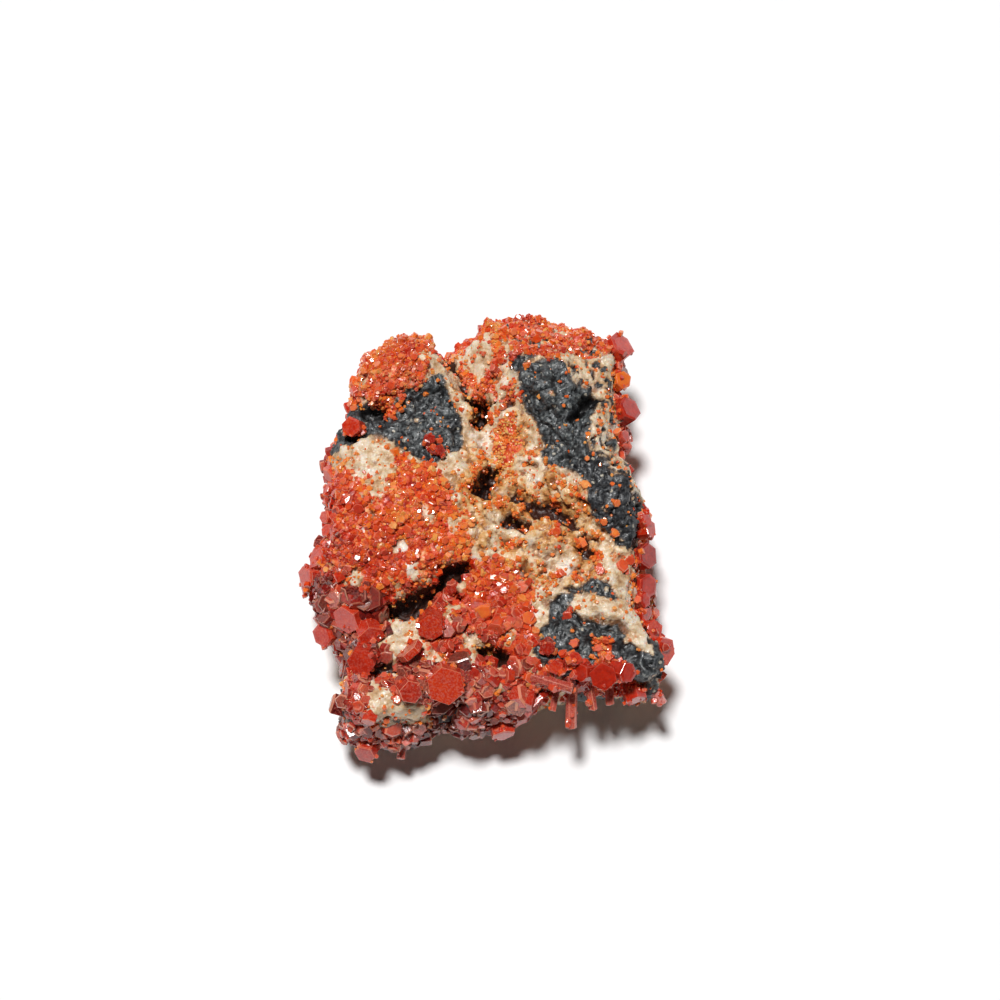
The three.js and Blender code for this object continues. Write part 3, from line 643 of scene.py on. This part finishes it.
def rock_material():
    s = Shader("rock")
    zone = {name: s.attribute(name) for name in ROCK_ATTRIBUTES}
    grain = {"coarse": s.noise(2.6, 4), "medium": s.noise(0.8, 3), "fine": s.noise(0.3, 2)}
    grain["centred"] = s.minus(grain["medium"], 0.5)
    # Painted shade in the hollows, from how far the rock lies below its broad surroundings.
    hollow_shade = s.spread(zone["hollow"], 0.16, 0.8)
    ragged = s.plus(zone["dark"], s.times(s.minus(grain["fine"], 0.5), 1.2))
    is_dark = s.spread(ragged, 0.38, 0.62)
    base = s.mix(
        is_dark, barite_colour(s, zone, grain, hollow_shade), dark_rock_colour(s, zone, grain, hollow_shade))
    fringe = s.times(s.spread(zone["dark"], 0.0, 0.4), s.spread(zone["dark"], 1.0, 0.5))
    base = s.mix(s.times(fringe, 0.55), base, colour4(92, 62, 38))
    film = s.plus(zone["druse"], s.times(grain["centred"], 1.1))
    base = s.mix(s.spread(film, 0.3, 0.62), base, bed_colour(s, zone, grain, hollow_shade))
    # Painted shade inside the cavities and shadowed hollows: dark brown on barite, near black on
    # dark rock.
    inside = s.mix(is_dark, colour4(56, 22, 8), colour4(12, 11, 12))
    base = s.mix(s.spread(zone["pit"], 0.2, 0.8), base, inside)
    rough = s.spread(grain["fine"], 0.3, 0.7, 0.28, 0.7)
    smoother = s.minus(1.0, s.times(is_dark, 0.75))
    grains = s.bump(s.times(s.cells(0.4), smoother), 0.16, 0.6)
    normal = s.bump(s.noise(0.18, 2), 0.06, 0.6, grains)
    glow = s.times(s.minus(1.0, is_dark), 0.28)
    s.set(Base_Color=base, Roughness=rough, IOR=BARITE_IOR, Normal=normal,
          Subsurface_Weight=glow, Subsurface_Radius=(1.0, 0.5, 0.25), Subsurface_Scale=0.7 * MM)
    return s.material


def vanadinite_material(name, stops, roughness, subsurface):
    """Red lead vanadate: bright faces over a deep colour, with a painted pale sheen and painted
    highlights on the bevelled edges.
    """
    s = Shader(name)
    tone, edge, veil = s.attribute("tone"), s.attribute("edge"), s.attribute("veil")
    cloud = s.times(s.minus(s.noise(0.6, 3), 0.5), 0.4)
    base = s.colours(s.plus(tone, cloud), stops)
    # Painted sheen: a pale pink veil over the colour, standing in for the reflection of the white
    # surround.
    painted_sheen = s.times(veil, s.spread(s.noise(0.22, 3), 0.42, 0.66))
    base = s.mix(s.times(painted_sheen, 0.6), base, colour4(206, 118, 102))
    # Painted highlight: pale pink on the bevelled edges, stronger where the painted sheen is.
    rim_highlight = s.times(edge, s.spread(veil, 0.0, 1.0, 0.2, 0.7))
    base = s.mix(rim_highlight, base, colour4(238, 164, 132))
    rough = s.plus(s.attribute("gloss"), s.times(s.noise(0.2, 2), roughness))
    normal = s.bump(s.noise(0.3, 3), 0.05, 0.5)
    s.set(Base_Color=base, Roughness=rough, IOR=VANADINITE_IOR, Normal=normal,
          Subsurface_Weight=subsurface, Subsurface_Radius=(1.0, 0.28, 0.12),
          Subsurface_Scale=0.55 * MM)
    return s.material


# ---- The rock -----------------------------------------------------------------------------------

VOXEL = 0.265  # grid of the rock's fine mesh
BELOW_TIPS = 0.6  # bed of the small crystals below the crusts' outer side
BOX_MARGIN = 0.05  # the rock stays this far inside the sides and top of the CAD box
SHEAR = math.radians(-26)  # direction of the barite's blades in plan, from +X
STRETCH = 0.3  # width of a blade against its length


def crust_tree():
    """A search tree over the crusts' CAD solids, and the crust that each of its faces is on."""
    points, faces, owners = [], [], []
    for index, name in enumerate(CRUSTS):
        mesh = NODES[name].data
        triangles = triangles_of(mesh) + sum(len(p) for p in points)
        points.append(vertices_of(mesh))
        faces.append(triangles)
        owners += [index] * len(triangles)
    tree = BVHTree.FromPolygons(
        np.concatenate(points).tolist(), np.concatenate(faces).tolist())
    return tree, owners


def crust_above(points, normals, tree, reach=2.4):
    """How far a crust's outer side stands above each point of the rock, 0 where there is none."""
    heights = np.zeros(len(points))
    starts = points + normals * reach
    for index, (start, normal) in enumerate(zip(starts.tolist(), normals.tolist())):
        distance = tree.ray_cast(Vector(start), -Vector(normal), reach)[3]
        if distance is not None:
            heights[index] = reach - distance
    return heights


def voxel_copy(node, voxel):
    """A copy of a CAD node's surface as an even grid."""
    copy = new_object(node.name + "_copy", node.data.copy())
    remesh = copy.modifiers.new("voxels", "REMESH")
    remesh.mode = "VOXEL"
    remesh.voxel_size = voxel * MM
    bpy.context.view_layer.update()
    evaluated = copy.evaluated_get(bpy.context.evaluated_depsgraph_get())
    mesh = bpy.data.meshes.new_from_object(evaluated)
    bpy.data.objects.remove(copy)
    return mesh


def rock_roughness(points, zones, under):
    """How far each point stands out of the smooth rock: the grain of the dark rock, the sheared
    blades of the barite, the bed of the crusts and the broken underside."""
    dark, druse, gold = zones["dark"], zones["druse"], zones["gold"]
    _, _, blocks = cell_noise(points, 2.4, 21)
    near, far, chips = cell_noise(points, 0.9, 22)
    slate = 1.0 * (blocks - 0.5) + 0.5 * (chips - 0.5) - 0.3 * ramp(far - near, 0.12, 0.0)
    slate += 0.45 * fractal_noise(points, 2.4, 23) + 0.14 * smooth_noise(points, 0.5, 24)
    sheared = np.stack([
        (points[:, 0] * math.cos(SHEAR) + points[:, 1] * math.sin(SHEAR)) * STRETCH,
        points[:, 1] * math.cos(SHEAR) - points[:, 0] * math.sin(SHEAR),
        points[:, 2],
    ], axis=1)
    ledges = 1 - 2 * np.abs(fractal_noise(sheared, 1.7, 25, 2))
    _, _, sugar = cell_noise(points, 0.65, 26)
    near, far, boulders = cell_noise(points, 2.2, 32)
    barite = 0.42 * ledges * (0.35 + 0.65 * gold) + 0.26 * (sugar - 0.5) * (0.5 + 0.5 * gold)
    barite += 0.42 * fractal_noise(points, 2.4, 27) + 0.6 * gold * (boulders - 0.5)
    barite -= 0.4 * gold * ramp(far - near, 0.2, 0.0)
    _, _, grains = cell_noise(points, 0.7, 33)
    bed = 0.62 * fractal_noise(points, 2.4, 28) + 0.26 * smooth_noise(points, 0.8, 29)
    bed += 0.32 * (grains - 0.5)
    rough = slate * dark + barite * (1 - dark)
    rough = rough * (1 - druse) + bed * druse
    broken = 0.55 * fractal_noise(points, 3.2, 30) + 0.3 * (cell_noise(points, 1.6, 31)[2] - 0.5)
    return rough * (1 - under) + broken * under


def sunk_below(smooth, points, facing):
    """How far each point lies below its smoothed surroundings."""
    return np.einsum("ij,ij->i", smooth - points, facing)


def build_rock():
    mesh = voxel_copy(NODES["matrix"], VOXEL)
    points, triangles, edges = vertices_of(mesh), triangles_of(mesh), edges_of(mesh)
    points = blurred(points, edges, 3)
    normals = vertex_normals(points, triangles)
    tree, owners = crust_tree()
    zones = zones_at(points, normals)
    steady = blurred(normals, edges, 6)
    steady /= np.linalg.norm(steady, axis=1, keepdims=True)
    above = crust_above(points, steady, tree)
    cover = blurred((above > 0.2).astype(float), edges, 4)
    zones["druse"] = np.maximum(zones["druse"], cover * (1 - zones["upper"]))
    under = ramp(normals[:, 2], -0.3, -0.7)
    rough = rock_roughness(points, zones, under)
    lift = np.maximum(blurred(above, edges, 8) - BELOW_TIPS, 0)
    rough += lift * np.clip(zones["druse"] * 1.4, 0, 1)
    shaped = points + steady * rough[:, None]
    shaped[:, 2] -= zones["depth"]
    shaped = np.clip(shaped, LOW + BOX_MARGIN, HIGH - BOX_MARGIN)
    shaped[:, 2] = np.maximum(shaped[:, 2], 0.0)
    set_vertices(mesh, shaped)
    broad, close = blurred(shaped, edges, 24), blurred(shaped, edges, 4)
    facing = vertex_normals(broad, triangles)
    # How far each point lies below its broad and its close surroundings: these set where shade is
    # painted on the rock.
    hollow = np.clip(sunk_below(broad, shaped, facing), 0, 2)
    zones["hollow"] = hollow * (1 - ramp(zones["depth"], 0.0, 0.4) * 0.5)
    zones["crease"] = np.clip(sunk_below(close, shaped, facing), 0, 1)
    # Share of painted shade inside the cavities and shadowed hollows, from their depth.
    zones["pit"] = ramp(zones["depth"], 0.35, 1.4)
    zones["stain"] = blurred(zones["druse"], edges, 20)
    for name in ROCK_ATTRIBUTES:
        set_attribute(mesh, name, zones[name])
    mesh.polygons.foreach_set("use_smooth", np.ones(len(mesh.polygons), bool))
    add_piece(new_object("matrix_rock", mesh), "rock", rock_material(), "matrix")
    return {
        "points": shaped, "triangles": triangles, "normals": facing, "under": under,
        "tree": tree, "owners": owners,
        "surface": BVHTree.FromPolygons(shaped.tolist(), triangles.tolist()), **zones,
    }


# ---- Small crystals -----------------------------------------------------------------------------

SIDES = 6
RINGS = 3  # rings of corners on a prism: foot, shoulder and end face
ABOVE_FLOOR = 0.02  # lowest place for a small crystal's corner
ROOT = 0.22  # how far a crusted crystal starts below the bed
SHALLOW_ROOT = 0.15  # and one on bare rock
OVERGROWN_ROOT = 0.18  # and one on a larger crystal
STREWN, OVERGROWN = 4200, 900  # how many there are on bare rock, and on the larger crystals
OVERHEAD = 40  # a height above the whole specimen


def prisms(rng, seats, axes, radii, lengths, bevels):
    """Hexagonal prisms standing on their seats, with uneven corners and a bevelled end face."""
    count = len(seats)
    helper = np.where(np.abs(axes[:, 2:3]) < 0.9, [[0.0, 0.0, 1.0]], [[1.0, 0.0, 0.0]])
    first = np.cross(axes, helper)
    first /= np.linalg.norm(first, axis=1, keepdims=True)
    second = np.cross(axes, first)
    turn = rng.uniform(0, math.pi / 3, count)
    angles = turn[:, None] + np.arange(SIDES) * 2 * math.pi / SIDES
    uneven = radii[:, None] * rng.uniform(0.84, 1.16, (count, SIDES))
    cosines, sines = np.cos(angles)[..., None], np.sin(angles)[..., None]
    spokes = cosines * first[:, None] + sines * second[:, None]
    ring = spokes * uneven[..., None]
    tilt = rng.normal(0, 0.05, (count, 2))
    slope = ring @ first[..., None] * tilt[:, :1, None]
    slope += ring @ second[..., None] * tilt[:, 1:, None]
    end = axes[:, None] * lengths[:, None, None]
    shoulder = axes[:, None] * (lengths - bevels)[:, None, None]
    lean = axes[:, None] * slope
    inner = spokes * np.maximum(uneven - bevels[:, None] * 1.1, uneven * 0.3)[..., None]
    rings = np.stack([ring * 0.94, ring + shoulder + lean, inner + end + lean], axis=1)
    points = (seats[:, None, None] + rings).reshape(-1, 3)
    base = np.arange(count)[:, None, None] * SIDES * RINGS
    around = np.arange(SIDES)
    after = (around + 1) % SIDES
    band = np.stack([around, after, after + SIDES, around + SIDES], axis=1)
    quads = (base + np.concatenate([band, band + SIDES])[None]).reshape(-1, 4)
    caps = np.stack([around[::-1], around + 2 * SIDES])
    hexagons = (base + caps[None]).reshape(-1, SIDES)
    return points, [quads, hexagons]


def crystal_object(name, rng, crystals):
    """One mesh of small crystals, with the attributes that their material reads."""
    seats, axes, radii, lengths = (crystals[key] for key in ("seats", "axes", "radii", "lengths"))
    count = len(seats)
    bevels = np.minimum(radii, lengths) * rng.uniform(0.06, 0.22, count)
    points, faces = prisms(rng, seats, axes, radii, lengths, bevels)
    points = np.clip(points, LOW, HIGH)
    points[:, 2] = np.maximum(points[:, 2], ABOVE_FLOOR)
    piece = mesh_object(name, points, faces)
    gloss = np.where(rng.random(count) < 0.2, 0.06, rng.uniform(0.12, 0.3, count))
    for key, values in (
            ("tone", crystals["tones"]), ("veil", crystals["veils"]), ("gloss", gloss)):
        set_attribute(piece.data, key, np.repeat(values, SIDES * RINGS))
    # The edge value marks faces that take a painted highlight: all of each bevel, and a little of
    # the end faces.
    on_sides = np.tile(np.repeat([0.0, 1.0], SIDES), count)
    on_ends = np.tile([0.0, 0.25], count)
    set_attribute(piece.data, "edge", np.concatenate([on_sides, on_ends]), "FACE")
    return piece


def scatter(rng, rock, weight_at, count):
    """Random seats on the rock, more of them where the weight is high."""
    triangles = rock["triangles"]
    corners = rock["points"][triangles]
    size = np.linalg.norm(
        np.cross(corners[:, 1] - corners[:, 0], corners[:, 2] - corners[:, 0]), axis=1)
    weight = size * weight_at[triangles].mean(axis=1)
    chosen = rng.choice(len(triangles), count, p=weight / weight.sum())
    shares = rng.dirichlet((1, 1, 1), count)
    seats = np.einsum("ij,ijk->ik", shares, corners[chosen])
    normals = np.einsum("ij,ijk->ik", shares, rock["normals"][triangles[chosen]])
    normals /= np.linalg.norm(normals, axis=1, keepdims=True)
    return seats, normals, weight.sum() / 2


def leaning(rng, normals, spread):
    """Directions scattered about the normals."""
    axes = normals + rng.normal(0, 1, normals.shape) * np.reshape(spread, (-1, 1))
    return axes / np.linalg.norm(axes, axis=1, keepdims=True)


# Habit of the crystals in each part of the druse: crystals per square millimetre, smallest and
# largest radius, least and greatest length against radius, how far they lean, tone from deep red
# at 0 to orange at 1, and how much painted pale sheen they carry.
HABITS = {
    "cap": (12, 0.14, 0.65, 0.60, 1.8, 0.65, 0.54, 0.35),
    "far": (11, 0.13, 0.60, 0.60, 1.8, 0.65, 0.49, 0.40),
    "mound": (8, 0.13, 0.75, 0.50, 1.5, 0.75, 0.66, 0.12),
    "lower left": (4.2, 0.45, 2.00, 0.25, 0.7, 1.10, 0.36, 0.30),
    "terrace": (7, 0.18, 1.20, 0.35, 1.2, 0.85, 0.56, 0.25),
    "front": (5.5, 0.35, 1.80, 0.25, 0.9, 1.00, 0.40, 0.70),
    "near right": (8, 0.20, 1.00, 0.40, 1.4, 0.80, 0.52, 0.40),
    "corner": (6, 0.25, 1.40, 0.35, 1.1, 0.90, 0.52, 0.50),
    "stripe": (12, 0.10, 0.30, 0.80, 1.6, 0.70, 0.84, 0.00),
    "brown": (12, 0.14, 0.40, 0.80, 1.6, 0.70, 0.66, 0.10),
    "sides": (4.5, 0.28, 1.50, 0.30, 1.1, 0.90, 0.34, 0.45),
}
HABIT_NAMES = list(HABITS)
CRUST_REACH = 1.7  # crystals this near a crust belong to it
SETTLED = 0.3  # share of its radius by which a leaning crystal is sunk in the bed

# Crystals that stand alone on the bare rock: place in plan, radius and tone.
LONE_CRYSTALS = [
    (8.1, -2.1, 0.6, 0.62), (10.7, -2.7, 0.7, 0.74), (8.3, -6.7, 0.5, 0.6),
    (10.0, -7.0, 0.4, 0.6), (12.8, -6.4, 0.55, 0.58), (14.5, -2.2, 0.5, 0.76),
    (14.6, 0.8, 0.45, 0.72), (11.2, 3.1, 0.55, 0.86), (13.2, -1.1, 0.4, 0.74),
    (13.0, 10.8, 0.4, 0.8), (11.6, 9.0, 0.35, 0.78), (4.7, 17.2, 0.45, 0.7),
    (3.6, -11.0, 0.9, 0.46), (9.1, -11.2, 0.7, 0.44), (10.0, -14.6, 0.5, 0.6),
    (15.2, -5.8, 0.8, 0.56), (16.3, -5.0, 0.55, 0.52), (17.1, -7.2, 0.55, 0.5),
    (17.5, -9.7, 0.55, 0.5), (12.6, -4.9, 0.45, 0.64), (-5.9, 4.7, 0.4, 0.6),
    (-7.4, 4.8, 0.4, 0.6), (-7.5, 17.5, 0.5, 0.5), (-10.7, 15.3, 0.5, 0.5),
    (-5.2, 9.0, 0.4, 0.6), (-4.4, 7.7, 0.35, 0.6), (8.6, -16.0, 0.45, 0.5),
    (7.5, -17.1, 0.5, 0.5), (13.4, -14.3, 0.4, 0.6), (12.5, -15.1, 0.45, 0.6),
    (13.9, -19.3, 0.5, 0.5), (1.6, -20.8, 0.6, 0.4), (-12.3, -23.5, 0.5, 0.66),
    (-13.8, -22.4, 0.55, 0.66), (-9.6, -21.3, 0.5, 0.62), (-11.0, -22.9, 0.4, 0.68),
]


def habit_at(seats, normals):
    """The number of the druse part that each seat is in."""
    reach = np.array([outline_distance(seats, DRUSE[name]) for name in HABIT_NAMES[:-1]])
    nearest = reach.argmax(axis=0)
    upper = (normals[:, 2] > 0.2) | (seats[:, 2] > 13)
    return np.where(upper, nearest, len(HABIT_NAMES) - 1)


def crusted_crystals(rng, rock):
    """The small crystals that cover the druse."""
    share = np.where(rock["druse"] > 0.2, rock["druse"] ** 0.7, 0.0) * (1 - rock["pit"])
    densest = max(habit[0] for habit in HABITS.values())
    _, _, area = scatter(rng, rock, share, 10)  # a short draw, for the area they cover
    seats, normals, _ = scatter(rng, rock, share, int(area * densest))
    kind = habit_at(seats, normals)
    habit = np.array([HABITS[name] for name in HABIT_NAMES])[kind]
    kept = rng.random(len(seats)) < habit[:, 0] / densest
    kept &= rng.random(len(seats)) < 0.25 + 0.75 * ramp(smooth_noise(seats, 1.9, 42), -0.6, 0.1)
    seats, normals, habit = seats[kept], normals[kept], habit[kept]
    count = len(seats)
    _, smallest, largest, stout, slender, spread, tone, painted_sheen = habit.T
    coarse = 0.4 + 0.6 * ramp(smooth_noise(seats, 2.6, 43), -0.4, 0.5)
    radii = smallest + (largest - smallest) * rng.beta(1.0, 2.8, count) * coarse
    lengths = radii * (stout + (slender - stout) * rng.random(count)) + ROOT
    axes = leaning(rng, normals, spread)
    warmth = ramp(seats[:, 0] + seats[:, 1], -26, 6)
    drift = 0.36 * (warmth - 0.65) + 0.2 * smooth_noise(seats, 3.0, 44)
    return {
        "seats": seats - normals * radii[:, None] * SETTLED - axes * ROOT, "axes": axes,
        "radii": radii, "lengths": lengths + radii * SETTLED,
        "tones": np.clip(tone + drift + rng.normal(0, 0.12, count), 0.02, 0.98),
        # The veil is each crystal's share of painted pale sheen.
        "veils": np.clip(
            painted_sheen + 0.5 * smooth_noise(seats, 3.5, 45) + rng.normal(0, 0.2, count), 0, 1),
    }


def strewn_crystals(rng, rock, count):
    """Sparse small crystals on the bare rock, most of them near the druse and on the barite."""
    clumps = ramp(smooth_noise(rock["points"], 1.3, 46) + 0.5 * rock["stain"], 0.15, 0.6)
    share = 0.04 + clumps * (0.15 + 0.85 * rock["gold"] + 0.6 * rock["stain"])
    share *= (1 - 0.8 * rock["dark"]) * (1 - rock["druse"]) * (1 - rock["under"])
    share *= 1 - 0.6 * rock["pit"]
    seats, normals, _ = scatter(rng, rock, share, count)
    radii = 0.09 + 0.32 * rng.beta(0.9, 3.5, count)
    axes = leaning(rng, normals, 0.8)
    return {
        "seats": seats - axes * SHALLOW_ROOT, "axes": axes, "radii": radii,
        "lengths": radii * rng.uniform(0.7, 1.7, count) + SHALLOW_ROOT,
        "tones": np.clip(rng.normal(0.76, 0.09, count), 0, 1), "veils": np.zeros(count),
    }


def lone_crystals(rng, rock):
    """The crystals that stand alone, with a few smaller ones round the foot of each."""
    rows = []
    for x, y, radius, tone in LONE_CRYSTALS:
        rows.append((x, y, radius, tone))
        for _ in range(3):
            away, turn = radius * rng.uniform(0.6, 1.2), rng.uniform(0, 2 * math.pi)
            rows.append((x + away * math.cos(turn), y + away * math.sin(turn),
                         radius * rng.uniform(0.3, 0.6), tone + rng.normal(0, 0.06)))
    down = Vector((0, 0, -1))
    hits = [rock["surface"].ray_cast(Vector((x, y, OVERHEAD)), down) for x, y, _, _ in rows]
    found = [(*row, *hit[0], *hit[1]) for row, hit in zip(rows, hits) if hit[0] is not None]
    found = np.array(found)
    radii, tones, seats, normals = found[:, 2], found[:, 3], found[:, 4:7], found[:, 7:]
    axes = leaning(rng, normals + [0, 0, 0.6], 0.35)
    return {
        "seats": seats - axes * SHALLOW_ROOT, "axes": axes, "radii": radii,
        "lengths": radii * rng.uniform(0.6, 1.1, len(found)) + SHALLOW_ROOT,
        "tones": np.clip(tones, 0, 1), "veils": rng.uniform(0, 0.4, len(found)),
    }


def overgrowth(rng, rock, count):
    """Small crystals on the larger ones, most of them round the foot."""
    meshes = [NODES[name].data for name in CRYSTALS]
    sizes = [len(mesh.vertices) for mesh in meshes]
    starts = np.concatenate([[0], np.cumsum(sizes)[:-1]])
    points = np.concatenate([vertices_of(mesh) for mesh in meshes])
    triangles = np.concatenate(
        [triangles_of(mesh) + start for mesh, start in zip(meshes, starts)])
    normals = vertex_normals(points, triangles)
    height = np.array([rock["surface"].find_nearest(Vector(p))[3] for p in points.tolist()])
    large = {"points": points, "triangles": triangles, "normals": normals}
    seats, outward, _ = scatter(rng, large, 0.03 + ramp(height, 1.3, 0.1), count)
    radii = 0.12 + 0.5 * rng.beta(0.9, 3.0, count)
    axes = leaning(rng, outward, 0.7)
    return {
        "seats": seats - axes * OVERGROWN_ROOT, "axes": axes, "radii": radii,
        "lengths": radii * rng.uniform(0.5, 1.4, count) + OVERGROWN_ROOT,
        "tones": np.clip(rng.normal(0.5, 0.14, count), 0, 1), "veils": rng.uniform(0, 0.9, count),
    }


def build_druse(rock, material):
    """One piece of joined small crystals for each crust, and one for the rest."""
    rng = np.random.default_rng(41)
    groups = [
        crusted_crystals(rng, rock), strewn_crystals(rng, rock, STREWN),
        lone_crystals(rng, rock), overgrowth(rng, rock, OVERGROWN),
    ]
    crystals = {key: np.concatenate([group[key] for group in groups]) for key in groups[0]}
    nearest = [rock["tree"].find_nearest(Vector(seat)) for seat in crystals["seats"].tolist()]
    owner = np.array([rock["owners"][hit[2]] if hit[3] < CRUST_REACH else -1 for hit in nearest])
    for index in range(-1, len(CRUSTS)):
        name = "druse_scattered" if index < 0 else CRUSTS[index].replace("crust_", "druse_")
        mine = {key: values[owner == index] for key, values in crystals.items()}
        piece = crystal_object(name, rng, mine)
        add_piece(piece, "druse", material, "matrix" if index < 0 else CRUSTS[index])


# ---- Larger crystals ----------------------------------------------------------------------------

# The bevel takes a painted edge highlight.
EDGE_BEVEL = 0.08  # worn edge
UNEVEN = 0.05  # how far a corner is out of true
GROWTH_STEP = 0.05  # height of the step on an end face
END_FACE = 0.6  # smallest face with such a step, in square millimetres
SHARP = 0.35  # smallest angle between faces of a worn edge
FLAT = math.radians(2)  # faces within this angle of each other become one
PALE_CRYSTALS = ("prism_", "spike_")
# Tone and painted sheen of the crystals that have such a word in their name; the low tone of the
# shaded and dark ones is painted shade.
TONE_AND_SHADE = {"orange": 0.74, "shaded": 0.24, "dark": 0.24}
SHEEN_LEVELS = {"terrace": 0.85, "right": 0.1}


def worn_crystal(name, rng):
    """A CAD crystal with uneven corners, growth steps and bevelled edges, and the faces of the
    bevels, which take a painted highlight.
    """
    mesh = NODES[name].data.copy()
    work = bmesh.new()
    work.from_mesh(mesh)
    bmesh.ops.remove_doubles(work, verts=work.verts, dist=MM / 1000)
    bmesh.ops.dissolve_limit(work, angle_limit=FLAT, verts=work.verts, edges=work.edges)
    for corner in work.verts:
        corner.co += Vector(rng.normal(0, UNEVEN, 3)) * MM
    ends = [f for f in work.faces if len(f.verts) in (5, 6) and f.calc_area() > END_FACE * MM**2]
    for end in ends:
        breadth = math.sqrt(end.calc_area()) * rng.uniform(0.10, 0.2)
        bmesh.ops.inset_individual(work, faces=[end], thickness=breadth, depth=GROWTH_STEP * MM)
    sharp = [e for e in work.edges if len(e.link_faces) == 2 and e.calc_face_angle(0) > SHARP]
    made = bmesh.ops.bevel(
        work, geom=sharp, offset=EDGE_BEVEL * MM, segments=1, affect="EDGES", clamp_overlap=True)
    for corner in work.verts:
        corner.co = np.clip(corner.co, LOW * MM, HIGH * MM)
    work.faces.index_update()
    rim_highlight = [face.index for face in made["faces"]]
    work.to_mesh(mesh)
    work.free()
    mesh.shade_flat()
    return mesh, rim_highlight


def by_name(name, values, usual):
    """The value whose word is in the name, or else the usual one."""
    return next((value for word, value in values.items() if word in name), usual)


def build_large_crystal(name, rng, materials):
    mesh, rim_highlight = worn_crystal(name, rng)
    pale = name.startswith(PALE_CRYSTALS)
    # Lower tone for crystals named shaded or dark: painted shade.
    tone = by_name(name, TONE_AND_SHADE, rng.uniform(0.30, 0.46))
    # Share of painted pale sheen; the pale prisms and spikes carry the most.
    sheen_level = 0.95 if pale else by_name(name, SHEEN_LEVELS, 0.5)
    # Painted highlight on the bevelled faces.
    edge = np.zeros(len(mesh.polygons))
    edge[rim_highlight] = 1.0
    for key, value in (("tone", tone), ("veil", sheen_level), ("gloss", 0.12)):
        set_attribute(mesh, key, np.full(len(mesh.vertices), value))
    set_attribute(mesh, "edge", edge, "FACE")
    piece = new_object(name + "_grown", mesh)
    if pale:
        add_piece(piece, "crystal_pale", materials["pale"], name)
    else:
        add_piece(piece, "crystal_red", materials["large"], name)


# ---- Floor, light and camera --------------------------------------------------------------------

FOCAL, SENSOR = 85.0, 36.0
FRAME_WIDTH = 115.0  # width of the view at the specimen, in millimetres
ELEVATION = math.radians(72)
AIM = (1.64, -0.37, 10.5)  # point of the specimen that the camera aims past
AIM_ABOVE = 3.9  # how far above it in the picture
SUN_PLACE, SUN_TARGET = (-170, 235, 1480), (0, 0, 8)
SUN_SPREAD, SUN_STRENGTH = 9.5, 3.5
HORIZON, ZENITH = 0.42, 0.02  # brightness of the surround low down and overhead
FADE_FROM, FADE_TO = 0.08, 0.34  # height of a direction at which that changes
FLOOR_REACH = 3000.0


def build_stage():
    corners = np.array([(-1, -1, 0), (1, -1, 0), (1, 1, 0), (-1, 1, 0)]) * FLOOR_REACH
    floor = mesh_object("floor", corners, [np.array([[0, 1, 2, 3]])])
    s = Shader("floor_paper")
    s.set(Base_Color=(0.9, 0.9, 0.9, 1), Roughness=0.9)
    floor.data.materials.append(s.material)


def look_at(obj, place, target):
    obj.location = Vector(place) * MM
    toward = Vector(target) - Vector(place)
    obj.rotation_euler = toward.to_track_quat("-Z", "Y").to_euler()


def add_sun():
    light = bpy.data.lights.new("key", "SUN")
    light.angle = math.radians(SUN_SPREAD)
    light.energy = SUN_STRENGTH
    look_at(new_object("key", light), SUN_PLACE, SUN_TARGET)


def build_camera():
    camera = new_object("camera", bpy.data.cameras.new("camera"))
    camera.data.lens = FOCAL
    camera.data.sensor_width = SENSOR
    camera.data.clip_start = MM
    distance = FRAME_WIDTH * FOCAL / SENSOR
    up = np.array([0, math.sin(ELEVATION), math.cos(ELEVATION)])
    away = np.array([0, -math.cos(ELEVATION), math.sin(ELEVATION)])
    target = np.array(AIM) + AIM_ABOVE * up
    look_at(camera, target + away * distance, target)
    bpy.context.scene.camera = camera


def build_world():
    """A pale surround low down and a dim sky, so that shadows on the floor stay deep."""
    world = bpy.data.worlds.new("world")
    world.use_nodes = True
    tree = world.node_tree
    direction = tree.nodes.new("ShaderNodeTexCoord").outputs["Generated"]
    height = tree.nodes.new("ShaderNodeSeparateXYZ")
    tree.links.new(direction, height.inputs[0])
    fade = tree.nodes.new("ShaderNodeMapRange")
    fade.interpolation_type = "SMOOTHSTEP"
    for name, value in (
            ("From Min", FADE_FROM), ("From Max", FADE_TO), ("To Min", HORIZON),
            ("To Max", ZENITH)):
        fade.inputs[name].default_value = value
    tree.links.new(height.outputs["Z"], fade.inputs["Value"])
    background = tree.nodes["Background"]
    background.inputs["Color"].default_value = (1, 1, 1, 1)
    tree.links.new(fade.outputs["Result"], background.inputs["Strength"])
    bpy.context.scene.world = world


def build_light():
    build_world()
    add_sun()
    bpy.context.scene.view_settings.view_transform = "Standard"


# ---- The specimen -------------------------------------------------------------------------------

materials = {
    "druse": vanadinite_material("vanadinite_druse", VANADINITE, 0.1, 0.3),
    "large": vanadinite_material("vanadinite_large", VANADINITE, 0.12, 0.25),
    "pale": vanadinite_material("vanadinite_pale", PALE_VANADINITE, 0.3, 0.3),
}
rock = build_rock()
build_druse(rock, materials["druse"])
crystal_rng = np.random.default_rng(51)
for crystal in CRYSTALS:
    build_large_crystal(crystal, crystal_rng, materials)
build_stage()
build_light()
build_camera()
